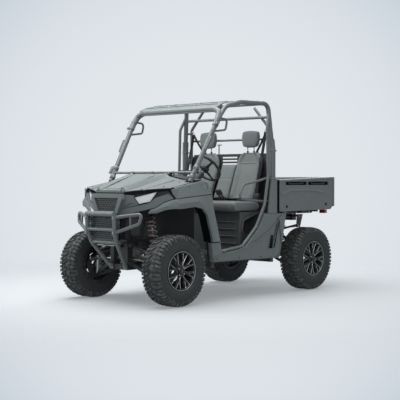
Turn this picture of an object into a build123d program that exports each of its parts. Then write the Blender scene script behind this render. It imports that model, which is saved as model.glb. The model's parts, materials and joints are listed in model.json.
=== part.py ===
"""Side-by-side utility vehicle: two seats, open cab with a tube cage, and a tipping cargo bed.

Millimetres. +Z up, origin on the ground midway between the axles, front of the
vehicle towards -Y and its left side towards +X.
"""
from build123d import *
import os
from math import atan2, cos, degrees, radians, sin

os.makedirs("parts", exist_ok=True)

# ---------------------------------------------------------------- driving dimensions
wheelbase = 2130.0
track = 1216.0
tyre_diameter = 700.0
tyre_width = 236.0
rim_seat_diameter = 356.0
rim_width = 212.0
rim_wall = 8.0
bead_clearance = 0.3
hub_radius = 50.0
disc_radius = 118.0
disc_thickness = 5.0

front_end = -1505.0
rear_end = 1505.0
seat_gap = 0.3            # clearance between pieces that seat on each other
joint_gap = 0.5           # clearance between a turning piece and its seat

cage_tube = 50.0          # outer diameters of the tubes
rim_tube = 32.0
light_tube = 25.0
arm_tube = 32.0

frame_rail = 50.0         # square chassis tube
rail_top = 390.0
rail_spread = 230.0       # centre of the main rails from the middle of the vehicle
nose_spread = 100.0       # centre of the narrow rails that carry the arms
upper_rail_top = 640.0
arm_spread = 130.0        # half the distance between one arm's two pivots
arm_inner_x = 150.0
kingpin_x = 505.0
ball_radius = 20.0
upper_arm_inner_z = 585.0
lower_arm_inner_z = 395.0
knuckle_half_height = 95.0
arm_boss_height = 26.0
shock_offset = 58.0       # of the shock absorbers from the axle line
shock_foot_x = 342.0
shock_foot_z = 345.0
spring_radius = 41.0
arm_waist_x = 330.0       # where an arm's two tubes start to close in
arm_waist = 122.0
steer_arm_length = 105.0

panel = 6.0               # moulded body panel
seat_top = 1006.0
seat_centre = 315.0
seat_width = 390.0

bed_half_width = 685.0
bed_front = 480.0
bed_floor_z = 900.0
bed_wall = 40.0
bed_top_front = 1229.0
bed_top_rear = 1262.0
tailgate_thickness = 32.0
bed_hinge_y = 1235.0
bed_hinge_z = 858.0

hub_z = tyre_diameter / 2
wheel_x = track / 2
front_axle = -wheelbase / 2
rear_axle = wheelbase / 2
sides = (("left", 1), ("right", -1))
# columns: name, axle line, x and z of the shock absorbers' upper eyes
axles = (
    ("front", front_axle, 208.0, 890.0),
    ("rear", rear_axle, 226.0, 770.0),
)
ball_top = hub_z + knuckle_half_height
ball_bottom = hub_z - knuckle_half_height


# ---------------------------------------------------------------- drawing helpers
def save(piece, name):
    """Label a finished piece and write its STEP file."""
    piece.part.label = name
    export_step(piece.part, f"parts/{name}.step")


def block(x_range, y_range, z_range, mode=Mode.ADD):
    """A box between two values along each axis, added to the active part."""
    middle = [(low + high) / 2 for low, high in (x_range, y_range, z_range)]
    size = [abs(high - low) for low, high in (x_range, y_range, z_range)]
    with Locations(tuple(middle)):
        Box(*size, mode=mode)


def side_plate(points, x_from, x_to, mode=Mode.ADD):
    """An outline of (y, z) points, extruded between two x values."""
    with BuildSketch(Plane.YZ.offset(min(x_from, x_to))) as outline:
        with BuildLine():
            Polyline(*points, close=True)
        make_face()
    extrude(outline.sketch, amount=abs(x_to - x_from), mode=mode)


def front_plate(points, y_from, y_to, mode=Mode.ADD):
    """An outline of (x, z) points, extruded between two y values."""
    with BuildSketch(Plane.XZ.offset(-max(y_from, y_to))) as outline:
        with BuildLine():
            Polyline(*points, close=True)
        make_face()
    extrude(outline.sketch, amount=abs(y_to - y_from), mode=mode)


def top_plate(points, z_from, z_to, mode=Mode.ADD):
    """An outline of (x, y) points, extruded between two heights."""
    with BuildSketch(Plane.XY.offset(min(z_from, z_to))) as outline:
        with BuildLine():
            Polyline(*points, close=True)
        make_face()
    extrude(outline.sketch, amount=abs(z_to - z_from), mode=mode)


def tube(points, diameter, bend=60.0):
    """A round tube along straight runs joined by tangent arcs."""
    with BuildLine() as route:
        if len(points) == 2:
            Line(*points)
        else:
            FilletPolyline(*points, radius=bend)
    with BuildSketch(Plane(origin=route.line @ 0, z_dir=route.line % 0)) as ring:
        Circle(diameter / 2)
    sweep(sections=ring.sketch, path=route.line)


def rod(start, end, radius, mode=Mode.ADD):
    """A straight cylinder between two points."""
    axis = Vector(*end) - Vector(*start)
    with Locations(Plane(origin=start, z_dir=axis)):
        Cylinder(radius, axis.length, align=(Align.CENTER, Align.CENTER, Align.MIN), mode=mode)


def mirror_x(points, side):
    """The same points on the left (1) or right (-1) side."""
    return [(x * side, *rest) for x, *rest in points]


def turned(points, angle):
    """The same flat points, turned by an angle in degrees."""
    c, s = cos(radians(angle)), sin(radians(angle))
    return [(x * c - y * s, x * s + y * c) for x, y in points]


# ---------------------------------------------------------------- wheels
tyre_sides = 24
# columns: distance from the wheel's middle plane, radius
tyre_profile = (
    (-0.415, 0.572),
    (-0.490, 0.740),
    (-0.455, 0.900),
    (-0.270, 0.952),
    (0.270, 0.952),
    (0.455, 0.900),
    (0.490, 0.740),
    (0.415, 0.572),
)
lug_pitches = 17
lug_tip = 348.34          # distance of the lugs' flat tips from the axle
lug_root = 304.0
# columns: distance from the middle plane, distance along the tread
lug_outline = ((5, -14), (5, 12), (113, 34), (113, 6))
spoke_count = 8
spoke_window = ((64, 8), (100, 22), (158, 40), (164, 0), (158, -40), (100, -22), (64, -8))
spoke_split = ((106, 3), (158, 11), (158, -11), (106, -3))


def wheel_plane(side, axle_y, offset=0.0):
    """Plane across the wheel's axis, its normal pointing away from the vehicle."""
    return Plane(
        origin=(side * (wheel_x + offset), axle_y, hub_z),
        x_dir=(0, 1, 0),
        z_dir=(side, 0, 0),
    )


def tyre_sections(side, axle_y):
    for share, radius_share in tyre_profile:
        with BuildSketch(wheel_plane(side, axle_y, share * tyre_width)) as ring:
            RegularPolygon(
                radius_share * tyre_diameter / 2,
                tyre_sides,
                major_radius=False,
                rotation=180 / tyre_sides,
            )
        yield ring.sketch


for axle_name, axle_y, head_x, head_z in axles:
    for side_name, side in sides:
        with BuildPart() as tyre:
            loft(sections=list(tyre_sections(side, axle_y)), ruled=True)
            with BuildSketch(wheel_plane(side, axle_y, -tyre_width / 2)) as bore:
                RegularPolygon(
                    rim_seat_diameter / 2 + bead_clearance,
                    tyre_sides,
                    major_radius=False,
                    rotation=180 / tyre_sides,
                )
            extrude(bore.sketch, amount=tyre_width, mode=Mode.SUBTRACT)
            # two staggered rows of slanting lugs, one corner of them straight below the axle
            pitch = 360 / lug_pitches
            first = -90 - degrees(atan2(lug_outline[2][1], lug_tip))
            for row, lead in ((1, 0), (-1, pitch / 2)):
                for lug in range(lug_pitches):
                    angle = radians(first + lead + lug * pitch)
                    radial = Vector(0, cos(angle), sin(angle))
                    foot = Vector(side * wheel_x, axle_y, hub_z) + radial * lug_root
                    # x of the plane runs along the tread and y of it across
                    seat = Plane(origin=foot, x_dir=(0, -sin(angle), cos(angle)), z_dir=radial)
                    across = side * row if seat.y_dir.X > 0 else -side * row
                    with BuildSketch(seat) as footprint:
                        with BuildLine():
                            Polyline(*[(along, x * across) for x, along in lug_outline], close=True)
                        make_face()
                    extrude(footprint.sketch, amount=lug_tip - lug_root)
        save(tyre, f"tyre_{axle_name}_{side_name}")

        seat_radius = rim_seat_diameter / 2
        cavity_radius = seat_radius - rim_wall
        flange_radius = seat_radius + 17
        flange_thickness = 7.7
        half_rim = rim_width / 2
        with BuildPart() as rim:
            with BuildSketch(Plane.XY) as section:
                with BuildLine():
                    Polyline(
                        (cavity_radius, -half_rim),
                        (flange_radius, -half_rim),
                        (flange_radius, -half_rim + flange_thickness),
                        (seat_radius, -half_rim + flange_thickness),
                        (seat_radius, half_rim - flange_thickness),
                        (flange_radius, half_rim - flange_thickness),
                        (flange_radius, half_rim),
                        (cavity_radius, half_rim),
                        close=True,
                    )
                make_face()
            revolve(section.sketch, axis=Axis.Y)
            with BuildSketch(Plane.XY) as spoke_section:
                with BuildLine():
                    Polyline(
                        (0, -62),
                        (hub_radius, -62),
                        (hub_radius, 66),
                        (cavity_radius + 2, 80),
                        (cavity_radius + 2, 100),
                        (hub_radius + 6, 90),
                        (hub_radius - 16, 96),
                        (0, 96),
                        close=True,
                    )
                make_face()
            revolve(spoke_section.sketch, axis=Axis.Y)
            with BuildSketch(Plane.XZ) as windows:
                for spoke in range(spoke_count):
                    for outline, lead in ((spoke_window, 0), (spoke_split, 0.5)):
                        with BuildLine():
                            Polyline(*turned(outline, (spoke + lead) * 360 / spoke_count), close=True)
                        make_face()
            extrude(windows.sketch, amount=-half_rim, mode=Mode.SUBTRACT)
            with BuildSketch(Plane.XZ.offset(62)) as disc:
                Circle(disc_radius)
            extrude(disc.sketch, amount=-disc_thickness)
        hub_plane = Plane(
            origin=(side * wheel_x, axle_y, hub_z), x_dir=(0, 0, side), z_dir=(0, 1, 0)
        )
        with BuildPart() as placed_rim:
            add(hub_plane.location * rim.part)
        save(placed_rim, f"rim_{axle_name}_{side_name}")

disc_inner_x = wheel_x - 62

# ---------------------------------------------------------------- knuckles
tie_rod_z = hub_z + 62
knuckle_radius = 32.0


def knuckle(side, axle_y, steered):
    """Upright between the two ball joints, with its stub axle and brake caliper."""
    rod((side * kingpin_x, axle_y, ball_bottom), (side * kingpin_x, axle_y, ball_top), knuckle_radius)
    rod(
        (side * kingpin_x, axle_y, hub_z),
        (side * (disc_inner_x - joint_gap), axle_y, hub_z),
        38,
    )
    caliper_x = (side * (kingpin_x - 5), side * (disc_inner_x + disc_thickness + 18))
    block(caliper_x, (axle_y + 55, axle_y + 105), (hub_z + 55, hub_z + 108))
    block(
        (side * (kingpin_x - 5), side * (kingpin_x + 18)),
        (axle_y, axle_y + 70),
        (hub_z + 40, hub_z + 85),
    )
    rod(
        (side * (disc_inner_x - 1.5), axle_y, hub_z),
        (side * (disc_inner_x + disc_thickness + 1.5), axle_y, hub_z),
        disc_radius + 3,
        mode=Mode.SUBTRACT,
    )
    if steered:
        arm_tip = axle_y - steer_arm_length - 14
        top_plate(
            mirror_x(
                (
                    (kingpin_x - 24, axle_y),
                    (kingpin_x + 24, axle_y),
                    (kingpin_x + 15, arm_tip),
                    (kingpin_x - 15, arm_tip),
                ),
                side,
            ),
            tie_rod_z - 16,
            tie_rod_z,
        )


for side_name, side in sides:
    with BuildPart() as front_knuckle:
        knuckle(side, front_axle, True)
    save(front_knuckle, f"knuckle_{side_name}")

with BuildPart() as rear_knuckles:
    for side_name, side in sides:
        knuckle(side, rear_axle, False)
save(rear_knuckles, "rear_knuckles")

# ---------------------------------------------------------------- suspension arms
bush_radius = 20.0
bush_length = 44.0
boss_radius = ball_radius + 4
shock_ear = 8.0
shock_eye_length = 34.0
shock_eye_radius = 18.0


def arm(side, axle_y, inner_z, boss_low):
    """A-arm of two tubes, its bushes on the frame and its boss over the ball joint."""
    boss_z = boss_low + arm_boss_height / 2
    slope = (boss_z - inner_z) / (kingpin_x - arm_inner_x)
    for lead in (1, -1):
        pivot_y = axle_y + lead * arm_spread
        route = (
            (arm_inner_x, pivot_y, inner_z),
            (arm_waist_x, axle_y + lead * arm_waist, inner_z + slope * (arm_waist_x - arm_inner_x)),
            (kingpin_x - 6, axle_y + lead * 8, boss_z),
        )
        tube(mirror_x(route, side), arm_tube, bend=50)
        rod(
            (side * arm_inner_x, pivot_y - bush_length / 2, inner_z),
            (side * arm_inner_x, pivot_y + bush_length / 2, inner_z),
            bush_radius,
        )
    rod(
        (side * kingpin_x, axle_y, boss_low),
        (side * kingpin_x, axle_y, boss_low + arm_boss_height),
        boss_radius,
    )


for axle_name, axle_y, head_x, head_z in axles:
    shock_y = axle_y + shock_offset if axle_y < 0 else axle_y - shock_offset
    with BuildPart() as arms:
        for side_name, side in sides:
            arm(side, axle_y, upper_arm_inner_z, ball_top + joint_gap)
            arm(side, axle_y, lower_arm_inner_z, ball_bottom - joint_gap - arm_boss_height)
            # the bosses end flat at the ball joints, so the knuckle turns between them
            rod(
                (side * kingpin_x, axle_y, ball_bottom - joint_gap),
                (side * kingpin_x, axle_y, ball_top + joint_gap),
                knuckle_radius + 4,
                mode=Mode.SUBTRACT,
            )
            for lead in (1, -1):
                near = shock_y + lead * (shock_eye_length / 2 + seat_gap)
                block(
                    (side * (shock_foot_x - 22), side * (shock_foot_x + 22)),
                    (near, near + lead * shock_ear),
                    (shock_foot_z - 50, shock_foot_z + 16),
                )
            brace_z = shock_foot_z - 37
            rod(
                (side * shock_foot_x, axle_y - arm_waist + 8, brace_z),
                (side * shock_foot_x, axle_y + arm_waist - 8, brace_z),
                12,
            )
    save(arms, f"{axle_name}_arms")

# ---------------------------------------------------------------- shock absorbers
coil_count = 8
coil_radius = 6.0
for axle_name, axle_y, head_x, head_z in axles:
    shock_y = axle_y + shock_offset if axle_y < 0 else axle_y - shock_offset
    with BuildPart() as shocks:
        for side_name, side in sides:
            foot = Vector(side * shock_foot_x, shock_y, shock_foot_z)
            head = Vector(side * head_x, shock_y, head_z)
            axis = (head - foot).normalized()
            low_seat = foot + axis * 130
            high_seat = head - axis * 44
            rod(tuple(foot), tuple(head), 12)
            rod(tuple(foot + axis * 32), tuple(low_seat + axis * 20), 24)
            rod(tuple(low_seat), tuple(low_seat + axis * 8), spring_radius + 4)
            rod(tuple(high_seat - axis * 8), tuple(high_seat), spring_radius + 4)
            rod(tuple(low_seat), tuple(high_seat), spring_radius - 12)
            pitch = ((high_seat - low_seat).length - 16) / coil_count
            for turn in range(coil_count):
                centre = low_seat + axis * (8 + pitch * (turn + 0.5))
                rod(tuple(centre - axis * coil_radius), tuple(centre + axis * coil_radius), spring_radius)
            for eye in (foot, head):
                rod(
                    (eye.X, eye.Y - shock_eye_length / 2, eye.Z),
                    (eye.X, eye.Y + shock_eye_length / 2, eye.Z),
                    shock_eye_radius,
                )
    save(shocks, f"{axle_name}_shocks")

# ---------------------------------------------------------------- steering rack and tie rods
rack_y = front_axle - steer_arm_length
rack_z = tie_rod_z + 26
rack_radius = 13.0
eye_radius = 15.0
eye_height = 22.0
with BuildPart() as tie_rods:
    rod((-200, rack_y, rack_z), (200, rack_y, rack_z), rack_radius)
    for side_name, side in sides:
        eye_z = tie_rod_z + joint_gap
        route = (
            (190, rack_y, rack_z),
            (kingpin_x - 40, rack_y, eye_z + eye_height / 2),
            (kingpin_x, rack_y, eye_z + eye_height / 2),
        )
        tube(mirror_x(route, side), 18, bend=30)
        rod(
            (side * kingpin_x, rack_y, eye_z),
            (side * kingpin_x, rack_y, eye_z + eye_height),
            eye_radius,
        )
save(tie_rods, "tie_rods")

# ---------------------------------------------------------------- chassis
half_rail = frame_rail / 2
rail_low = rail_top - frame_rail
nose_end = -1232.0
tail_end = 1232.0
neck = 800.0
front_outrigger = -545.0
rear_outrigger = 410.0
outrigger_end = 639.7
pillar_foot_x = 582.0
pillar_foot_y = -812.0
cowl_top = 1196.0
pillar_flange = 32.0
deck_y = 500.0
deck_top = 836.0
deck_low = 790.0
deck_end = 1195.0
deck_x = 290.0
hinge_pin = 12.0
receiver_outer = 64.0
receiver_inner = 51.0
receiver_end = 1475.0
hitch_pin_hole = 16.2

with BuildPart() as main_frame:
    for side_name, side in sides:
        rail_x = (side * (rail_spread - half_rail), side * (rail_spread + half_rail))
        nose_x = (side * (nose_spread - half_rail), side * (nose_spread + half_rail))
        block(rail_x, (-neck, neck), (rail_low, rail_top))
        block(nose_x, (nose_end, -neck + 40), (rail_low, rail_top))
        block(nose_x, (neck - 40, tail_end), (rail_low, rail_top))
        block(nose_x, (nose_end, nose_end + 40), (rail_low, 900))
        for post_y in (front_outrigger, rear_outrigger):
            block(
                (side * rail_spread, side * outrigger_end),
                (post_y - 22, post_y + 22),
                (rail_low + 8, rail_top),
            )
        # hoop that carries the foot of the front cage pillar
        hoop = (
            (600, front_outrigger, rail_top - 20),
            (600, front_outrigger - 55, 900),
            (pillar_foot_x, pillar_foot_y, cowl_top - 15),
        )
        tube(mirror_x(hoop, side), 38, bend=90)
        rod(
            (side * pillar_foot_x, pillar_foot_y, cowl_top - 10),
            (side * pillar_foot_x, pillar_foot_y, cowl_top),
            pillar_flange,
        )
        # rear deck that carries the bed and its hinge
        deck = (side * (deck_x - 20), side * (deck_x + 20))
        block(deck, (deck_y, deck_end), (deck_low, deck_top))
        block(deck, (deck_y, deck_y + 45), (rail_low + 10, deck_top))
        block((side * rail_spread, side * (deck_x + 20)), (deck_y, deck_y + 45), (rail_low, rail_top))
        for ear_x in (deck_x - 30, deck_x + 20):
            block(
                (side * ear_x, side * (ear_x + 10)),
                (bed_hinge_y - 20, bed_hinge_y + 20),
                (deck_low - 5, bed_hinge_z + 18),
            )
        rod(
            (side * (deck_x - 34), bed_hinge_y, bed_hinge_z),
            (side * (deck_x + 34), bed_hinge_y, bed_hinge_z),
            hinge_pin,
        )
        for axle_name, axle_y, head_x, head_z in axles:
            shock_y = axle_y + shock_offset if axle_y < 0 else axle_y - shock_offset
            block(
                nose_x,
                (axle_y - arm_spread - 32, axle_y + arm_spread + 32),
                (upper_rail_top - 40, upper_rail_top),
            )
            for lead in (1, -1):
                pivot_y = axle_y + lead * arm_spread
                block(nose_x, (pivot_y - 32, pivot_y + 32), (rail_top - 2, upper_rail_top))
                for inner_z in (upper_arm_inner_z, lower_arm_inner_z):
                    for end in (1, -1):
                        near = pivot_y + end * (bush_length / 2 + seat_gap)
                        block(
                            (side * (nose_spread + half_rail - 2), side * (arm_inner_x + bush_radius)),
                            (near, near + end * 7),
                            (inner_z - 22, inner_z + 22),
                        )
                near = shock_y + lead * (shock_eye_length / 2 + seat_gap)
                tower = (
                    (nose_spread - half_rail, upper_rail_top - 20),
                    (nose_spread + half_rail, upper_rail_top - 20),
                    (head_x - 48, head_z - 90),
                    (head_x - 43, head_z - 44),
                    (head_x + 24, head_z - 18),
                    (head_x + 24, head_z + 30),
                    (head_x - 75, head_z + 30),
                )
                front_plate(mirror_x(tower, side), near, near + lead * shock_ear)
    for cross_y in (20 - neck, front_outrigger, -60.0, deck_y + 22, neck - 20):
        block((-rail_spread, rail_spread), (cross_y - 20, cross_y + 20), (rail_low, rail_top))
    for cross_y in (nose_end + 20, tail_end - 20):
        block((-nose_spread, nose_spread), (cross_y - 20, cross_y + 20), (rail_low, rail_top))
    block((-nose_spread, nose_spread), (nose_end, nose_end + 40), (860, 900))
    for axle_name, axle_y, head_x, head_z in axles:
        shock_y = axle_y + shock_offset if axle_y < 0 else axle_y - shock_offset
        ear_reach = shock_eye_length / 2 + shock_ear + seat_gap
        for lead in (1, -1):
            pivot_y = axle_y + lead * arm_spread
            block(
                (-nose_spread, nose_spread),
                (pivot_y - 20, pivot_y + 20),
                (upper_rail_top - 40, upper_rail_top),
            )
        block(
            (60 - head_x, head_x - 60),
            (shock_y - ear_reach, shock_y + ear_reach),
            (head_z + 2, head_z + 30),
        )
    block((-deck_x - 30, deck_x + 30), (deck_end - 5, bed_hinge_y + 25), (deck_low - 25, deck_low + 20))
    block((-deck_x, deck_x), (deck_y + 5, deck_y + 40), (deck_low, deck_top))
    # passage for the steering rack
    rod((-150, rack_y, rack_z), (150, rack_y, rack_z), rack_radius + 6, mode=Mode.SUBTRACT)
    # hitch receiver with its cross pin hole
    receiver_z = rail_top - half_rail
    half_receiver = receiver_outer / 2
    block(
        (-half_receiver, half_receiver),
        (tail_end - 40, receiver_end),
        (receiver_z - half_receiver, receiver_z + half_receiver),
    )
    block(
        (-receiver_inner / 2, receiver_inner / 2),
        (tail_end - 30, receiver_end),
        (receiver_z - receiver_inner / 2, receiver_z + receiver_inner / 2),
        mode=Mode.SUBTRACT,
    )
    rod(
        (-half_receiver, receiver_end - 35, receiver_z),
        (half_receiver, receiver_end - 35, receiver_z),
        hitch_pin_hole / 2,
        mode=Mode.SUBTRACT,
    )
save(main_frame, "main_frame")

# ---------------------------------------------------------------- drivetrain
case_half_x = nose_spread - half_rail - seat_gap
shaft_z = 470.0
with BuildPart() as drive_shafts:
    for axle_name, axle_y, head_x, head_z in axles:
        block((-case_half_x, case_half_x), (axle_y - 90, axle_y + 90), (rail_top + 10, 545))
        for side_name, side in sides:
            start = (side * (case_half_x - 5), axle_y, shaft_z)
            end = (side * (kingpin_x - knuckle_radius - joint_gap), axle_y, hub_z)
            rod(start, end, 12)
            rod(start, tuple(Vector(*start) + (Vector(*end) - Vector(*start)).normalized() * 75), 32)
        # trims the sloping shaft ends square to the knuckle
        for side_name, side in sides:
            rod(
                (side * kingpin_x, axle_y, ball_bottom),
                (side * kingpin_x, axle_y, ball_top),
                knuckle_radius + joint_gap,
                mode=Mode.SUBTRACT,
            )
    rod((0, front_axle + 85, 425), (0, 345, 425), 14)
save(drive_shafts, "drive_shafts")

engine_half_x = 195.0
engine_front = 345.3
engine_rear = rear_axle - arm_spread - 44
with BuildPart() as engine_block:
    block((-engine_half_x, engine_half_x), (engine_front, engine_rear), (rail_top + seat_gap, 700))
save(engine_block, "engine_block")

muffler_radius = 58.0
with BuildPart() as muffler:
    muffler_y = rear_axle + arm_spread - 20
    muffler_z = upper_rail_top + seat_gap + muffler_radius
    rod((-165, muffler_y, muffler_z), (165, muffler_y, muffler_z), muffler_radius)
    rod((120, muffler_y, muffler_z), (120, muffler_y + 120, muffler_z - 15), 20)
save(muffler, "muffler")

with BuildPart() as skid_plate:
    skid_low = rail_low - seat_gap - 5
    outline = (
        (-125, nose_end),
        (125, nose_end),
        (125, -neck),
        (255, -neck + 90),
        (255, neck - 90),
        (125, neck),
        (125, tail_end - 50),
        (-125, tail_end - 50),
        (-125, neck),
        (-255, neck - 90),
        (-255, -neck + 90),
        (-125, -neck),
    )
    top_plate(outline, skid_low, rail_low - seat_gap)
save(skid_plate, "skid_plate")

# ---------------------------------------------------------------- cab floor, firewall and seat box
tub_half_x = 566.0
tub_wall = 8.0
firewall_y = -739.0
firewall_top = 1205.0
toe_top = 645.0
toe_foot_y = -640.0
floor_top = 480.0
seat_box_front = -40.0
seat_box_rear = 300.0
seat_box_top = 891.0
with BuildPart() as floor_tub:
    block((-tub_half_x, tub_half_x), (toe_foot_y, seat_box_rear), (floor_top - tub_wall, floor_top))
    block((-tub_half_x, tub_half_x), (firewall_y, firewall_y + tub_wall), (toe_top - 1, firewall_top))
    toe_board = (
        (firewall_y, toe_top),
        (firewall_y + tub_wall, toe_top),
        (toe_foot_y + tub_wall, floor_top - 1),
        (toe_foot_y + tub_wall, floor_top - tub_wall),
        (toe_foot_y, floor_top - tub_wall),
    )
    side_plate(toe_board, -tub_half_x, tub_half_x)
    for side_name, side in sides:
        block(
            (side * (rail_spread - half_rail), side * (rail_spread + half_rail)),
            (toe_foot_y + 20, seat_box_rear),
            (rail_top + seat_gap, floor_top - 1),
        )
        cheek = (
            (seat_box_front, floor_top - 1),
            (seat_box_front, seat_box_top),
            (seat_box_rear, seat_box_top),
            (seat_box_rear, floor_top - 1),
        )
        side_plate(cheek, side * (tub_half_x - tub_wall), side * tub_half_x)
        recess = ((30, 800), (262, 868), (262, 650), (47, 652), (5, 700))
        side_plate(recess, side * (tub_half_x - tub_wall - 1), side * (tub_half_x + 1), mode=Mode.SUBTRACT)
        # storage bin let into the side of the seat box
        side_plate(
            ((26, 806), (266, 874), (266, 644), (45, 646), (-1, 700)),
            side * (tub_half_x - 130),
            side * (tub_half_x - tub_wall + 1),
        )
        side_plate(recess, side * (tub_half_x - 122), side * (tub_half_x + 1), mode=Mode.SUBTRACT)
    front_wall_y = (seat_box_front, seat_box_front + tub_wall)
    block((-tub_half_x, tub_half_x), front_wall_y, (floor_top - 1, seat_box_top))
    block((-tub_half_x, tub_half_x), (seat_box_front, seat_box_rear), (seat_box_top - tub_wall, seat_box_top))
    # rounded tunnel nose under the middle of the bench
    tunnel = ((-150, floor_top - 1), (150, floor_top - 1), (120, 860), (-120, 860))
    front_plate(tunnel, seat_box_front - 70, seat_box_front + 1)
save(floor_tub, "floor_tub")

arch_line = ((-612, 600), (-627, 680), (-694, 882), (-753, 943), (-854, 965), (-1095, 946))
skin_x = 672.0
skin_outer = 688.0
with BuildPart() as wheel_liners:
    liner_line = (*arch_line[:-1], (-1070, 948))
    inner = [(y + 6, z + 10) for y, z in liner_line]
    outer = [(y + 14, z + 18) for y, z in liner_line]
    for side_name, side in sides:
        side_plate(inner + outer[::-1], side * (tub_half_x + 8), side * (skin_x - seat_gap))
save(wheel_liners, "wheel_liners")

# ---------------------------------------------------------------- cage
pillar_x = 645.0
pillar_y = 410.0
sleeve_radius = 34.0
half_cage = cage_tube / 2
brace_tube = 32.0
belt_leg_x = 570.0
belt_leg_y = 436.0
roof_x = 600.0
cage_cross_z = 1906.0
cage_cross_y = 398.0
lower_cross_z = 1675.0
windscreen_bar_y = -757.0
windscreen_bar_z = 1306.0
cage_sides = []

for side_name, side in sides:
    with BuildPart() as cage:
        hoop = (
            (pillar_foot_x, pillar_foot_y, cowl_top + seat_gap + 17),
            (620, -428, 1866),
            (roof_x, -300, 1988),
            (roof_x, -60, 2043),
            (roof_x, 385, 2049),
            (pillar_x, pillar_y, 1560),
            (pillar_x, pillar_y, 1190),
            (600, pillar_y, 850),
            (600, pillar_y, rail_top + seat_gap),
        )
        tube(mirror_x(hoop, side), cage_tube, bend=(70, 160, 160, 75, 120, 120, 120))
        foot = (side * pillar_foot_x, pillar_foot_y)
        rod((*foot, cowl_top + seat_gap), (*foot, cowl_top + seat_gap + 10), pillar_flange)
        rod((side * 613, -481, 1777), (side * 620, -428, 1866), 31)
        sleeve = ((pillar_x, pillar_y, 1240), (pillar_x, pillar_y, 1560), (635.3, pillar_y - 5.4, 1665))
        tube(mirror_x(sleeve, side), 2 * sleeve_radius, bend=120)
        leg = (
            (belt_leg_x, belt_leg_y, 1250),
            (belt_leg_x, belt_leg_y, 1800),
            (378, belt_leg_y - 6, 2014),
        )
        tube(mirror_x(leg, side), brace_tube, bend=60)
        rod((side * belt_leg_x, belt_leg_y, 1290), (side * pillar_x, pillar_y, 1290), 12)
        rod((side * belt_leg_x, belt_leg_y, 1760), (side * 618, pillar_y - 8, 1760), 12)
        # rim of the door opening, from the roof corner down to the sill
        door_rim = (
            (612, 386, 1950),
            (645, 322, 1800),
            (660, 320, 1270),
            (660, 262, 970),
            (660, 120, 738),
            (660, -110, 540),
            (660, -452, 506),
        )
        tube(mirror_x(door_rim, side), rim_tube, bend=(120, 200, 240, 300, 120))
        # trims the foot of the pillar square to its flange
        block((side * 530, side * 634), (-870, -760), (1140, cowl_top + seat_gap), mode=Mode.SUBTRACT)
    cage_sides.append(cage.part)
    save(cage, f"cage_{side_name}")

with BuildPart() as cage_crossbars:
    # columns: half length, y, z, diameter
    bars = (
        (590 - half_cage, windscreen_bar_y, windscreen_bar_z, 25),
        (roof_x - half_cage - seat_gap, -330, 1955, 32),
        (roof_x - half_cage - seat_gap, 330, 2046, 32),
        (588, cage_cross_y, cage_cross_z, 32),
    )
    for half_length, bar_y, bar_z, diameter in bars:
        rod((-half_length, bar_y, bar_z), (half_length, bar_y, bar_z), diameter / 2)
    for side_name, side in sides:
        tube(((side * 480, -325, 1958), (side * 150, 40, 2040), (side * 60, 325, 2046)), 26, bend=200)
    # shoulder belt bar, bowed back round the headrests
    belt_bar = (
        (-belt_leg_x, belt_leg_y + 6, lower_cross_z),
        (-480, 498, lower_cross_z),
        (480, 498, lower_cross_z),
        (belt_leg_x, belt_leg_y + 6, lower_cross_z),
    )
    tube(belt_bar, light_tube, bend=60)
    for cage_side in cage_sides:
        add(cage_side, mode=Mode.SUBTRACT)
save(cage_crossbars, "cage_crossbars")

# header between the roof rails
header = (
    (-408, 1930),
    (-398, 1925),
    (-372, 1928),
    (-366, 1972),
    (-300, 2014),
    (-140, 2044),
    (-140, 2052),
    (-305, 2024),
    (-390, 1988),
)
with BuildPart() as roof_header:
    side_plate(header, -(roof_x - half_cage - seat_gap), roof_x - half_cage - seat_gap)
    notch = ((-430, -255), (-300, -232), (300, -232), (430, -255), (430, -100), (-430, -100))
    top_plate(notch, 1900, 2100, mode=Mode.SUBTRACT)
    rod((-600, -330, 1955), (600, -330, 1955), 17, mode=Mode.SUBTRACT)
save(roof_header, "roof_header")

# ---------------------------------------------------------------- hood, cowl and dashboard
hood_rear = -812.0
hood_front = -1354.0
hood_half_x = 617.0
hood_hinge_y = -796.0
hood_hinge_z = 1297.0
hinge_x = 270.0
hinge_radius = 9.0
hinge_bore = 4.5
# columns: x at the front, z at the front, x at the back, z at the back
hood_line = (
    (0, 1131, 0, 1295),
    (150, 1128, 228, 1290),
    (174, 1139, 252, 1302),
    (206, 1118, 296, 1266),
    (430, 1114, 470, 1232),
    (660, 1112, 660, 1206),
)
face_tilt = (0.8809, 0.4733)
face_origin = (298.0, -1300.0)


def hood_section(column, y, drop):
    """Closed section of the hood at one y, from a pair of columns."""
    top = [(row[column], row[column + 1]) for row in hood_line]
    right = top[1:]
    left = [(-x, z) for x, z in reversed(right)]
    upper = left + top[:1] + right
    lower = [(x, z - drop) for x, z in reversed(upper)]
    with BuildSketch(Plane.XZ.offset(-y)) as section:
        with BuildLine():
            Polyline(*upper, *lower, close=True)
        make_face()
    return section.sketch


def face_y(x):
    """y of the slanting front of the bodywork at a distance x from the middle."""
    return face_origin[1] + (abs(x) - face_origin[0]) * face_tilt[1] / face_tilt[0]


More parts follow.
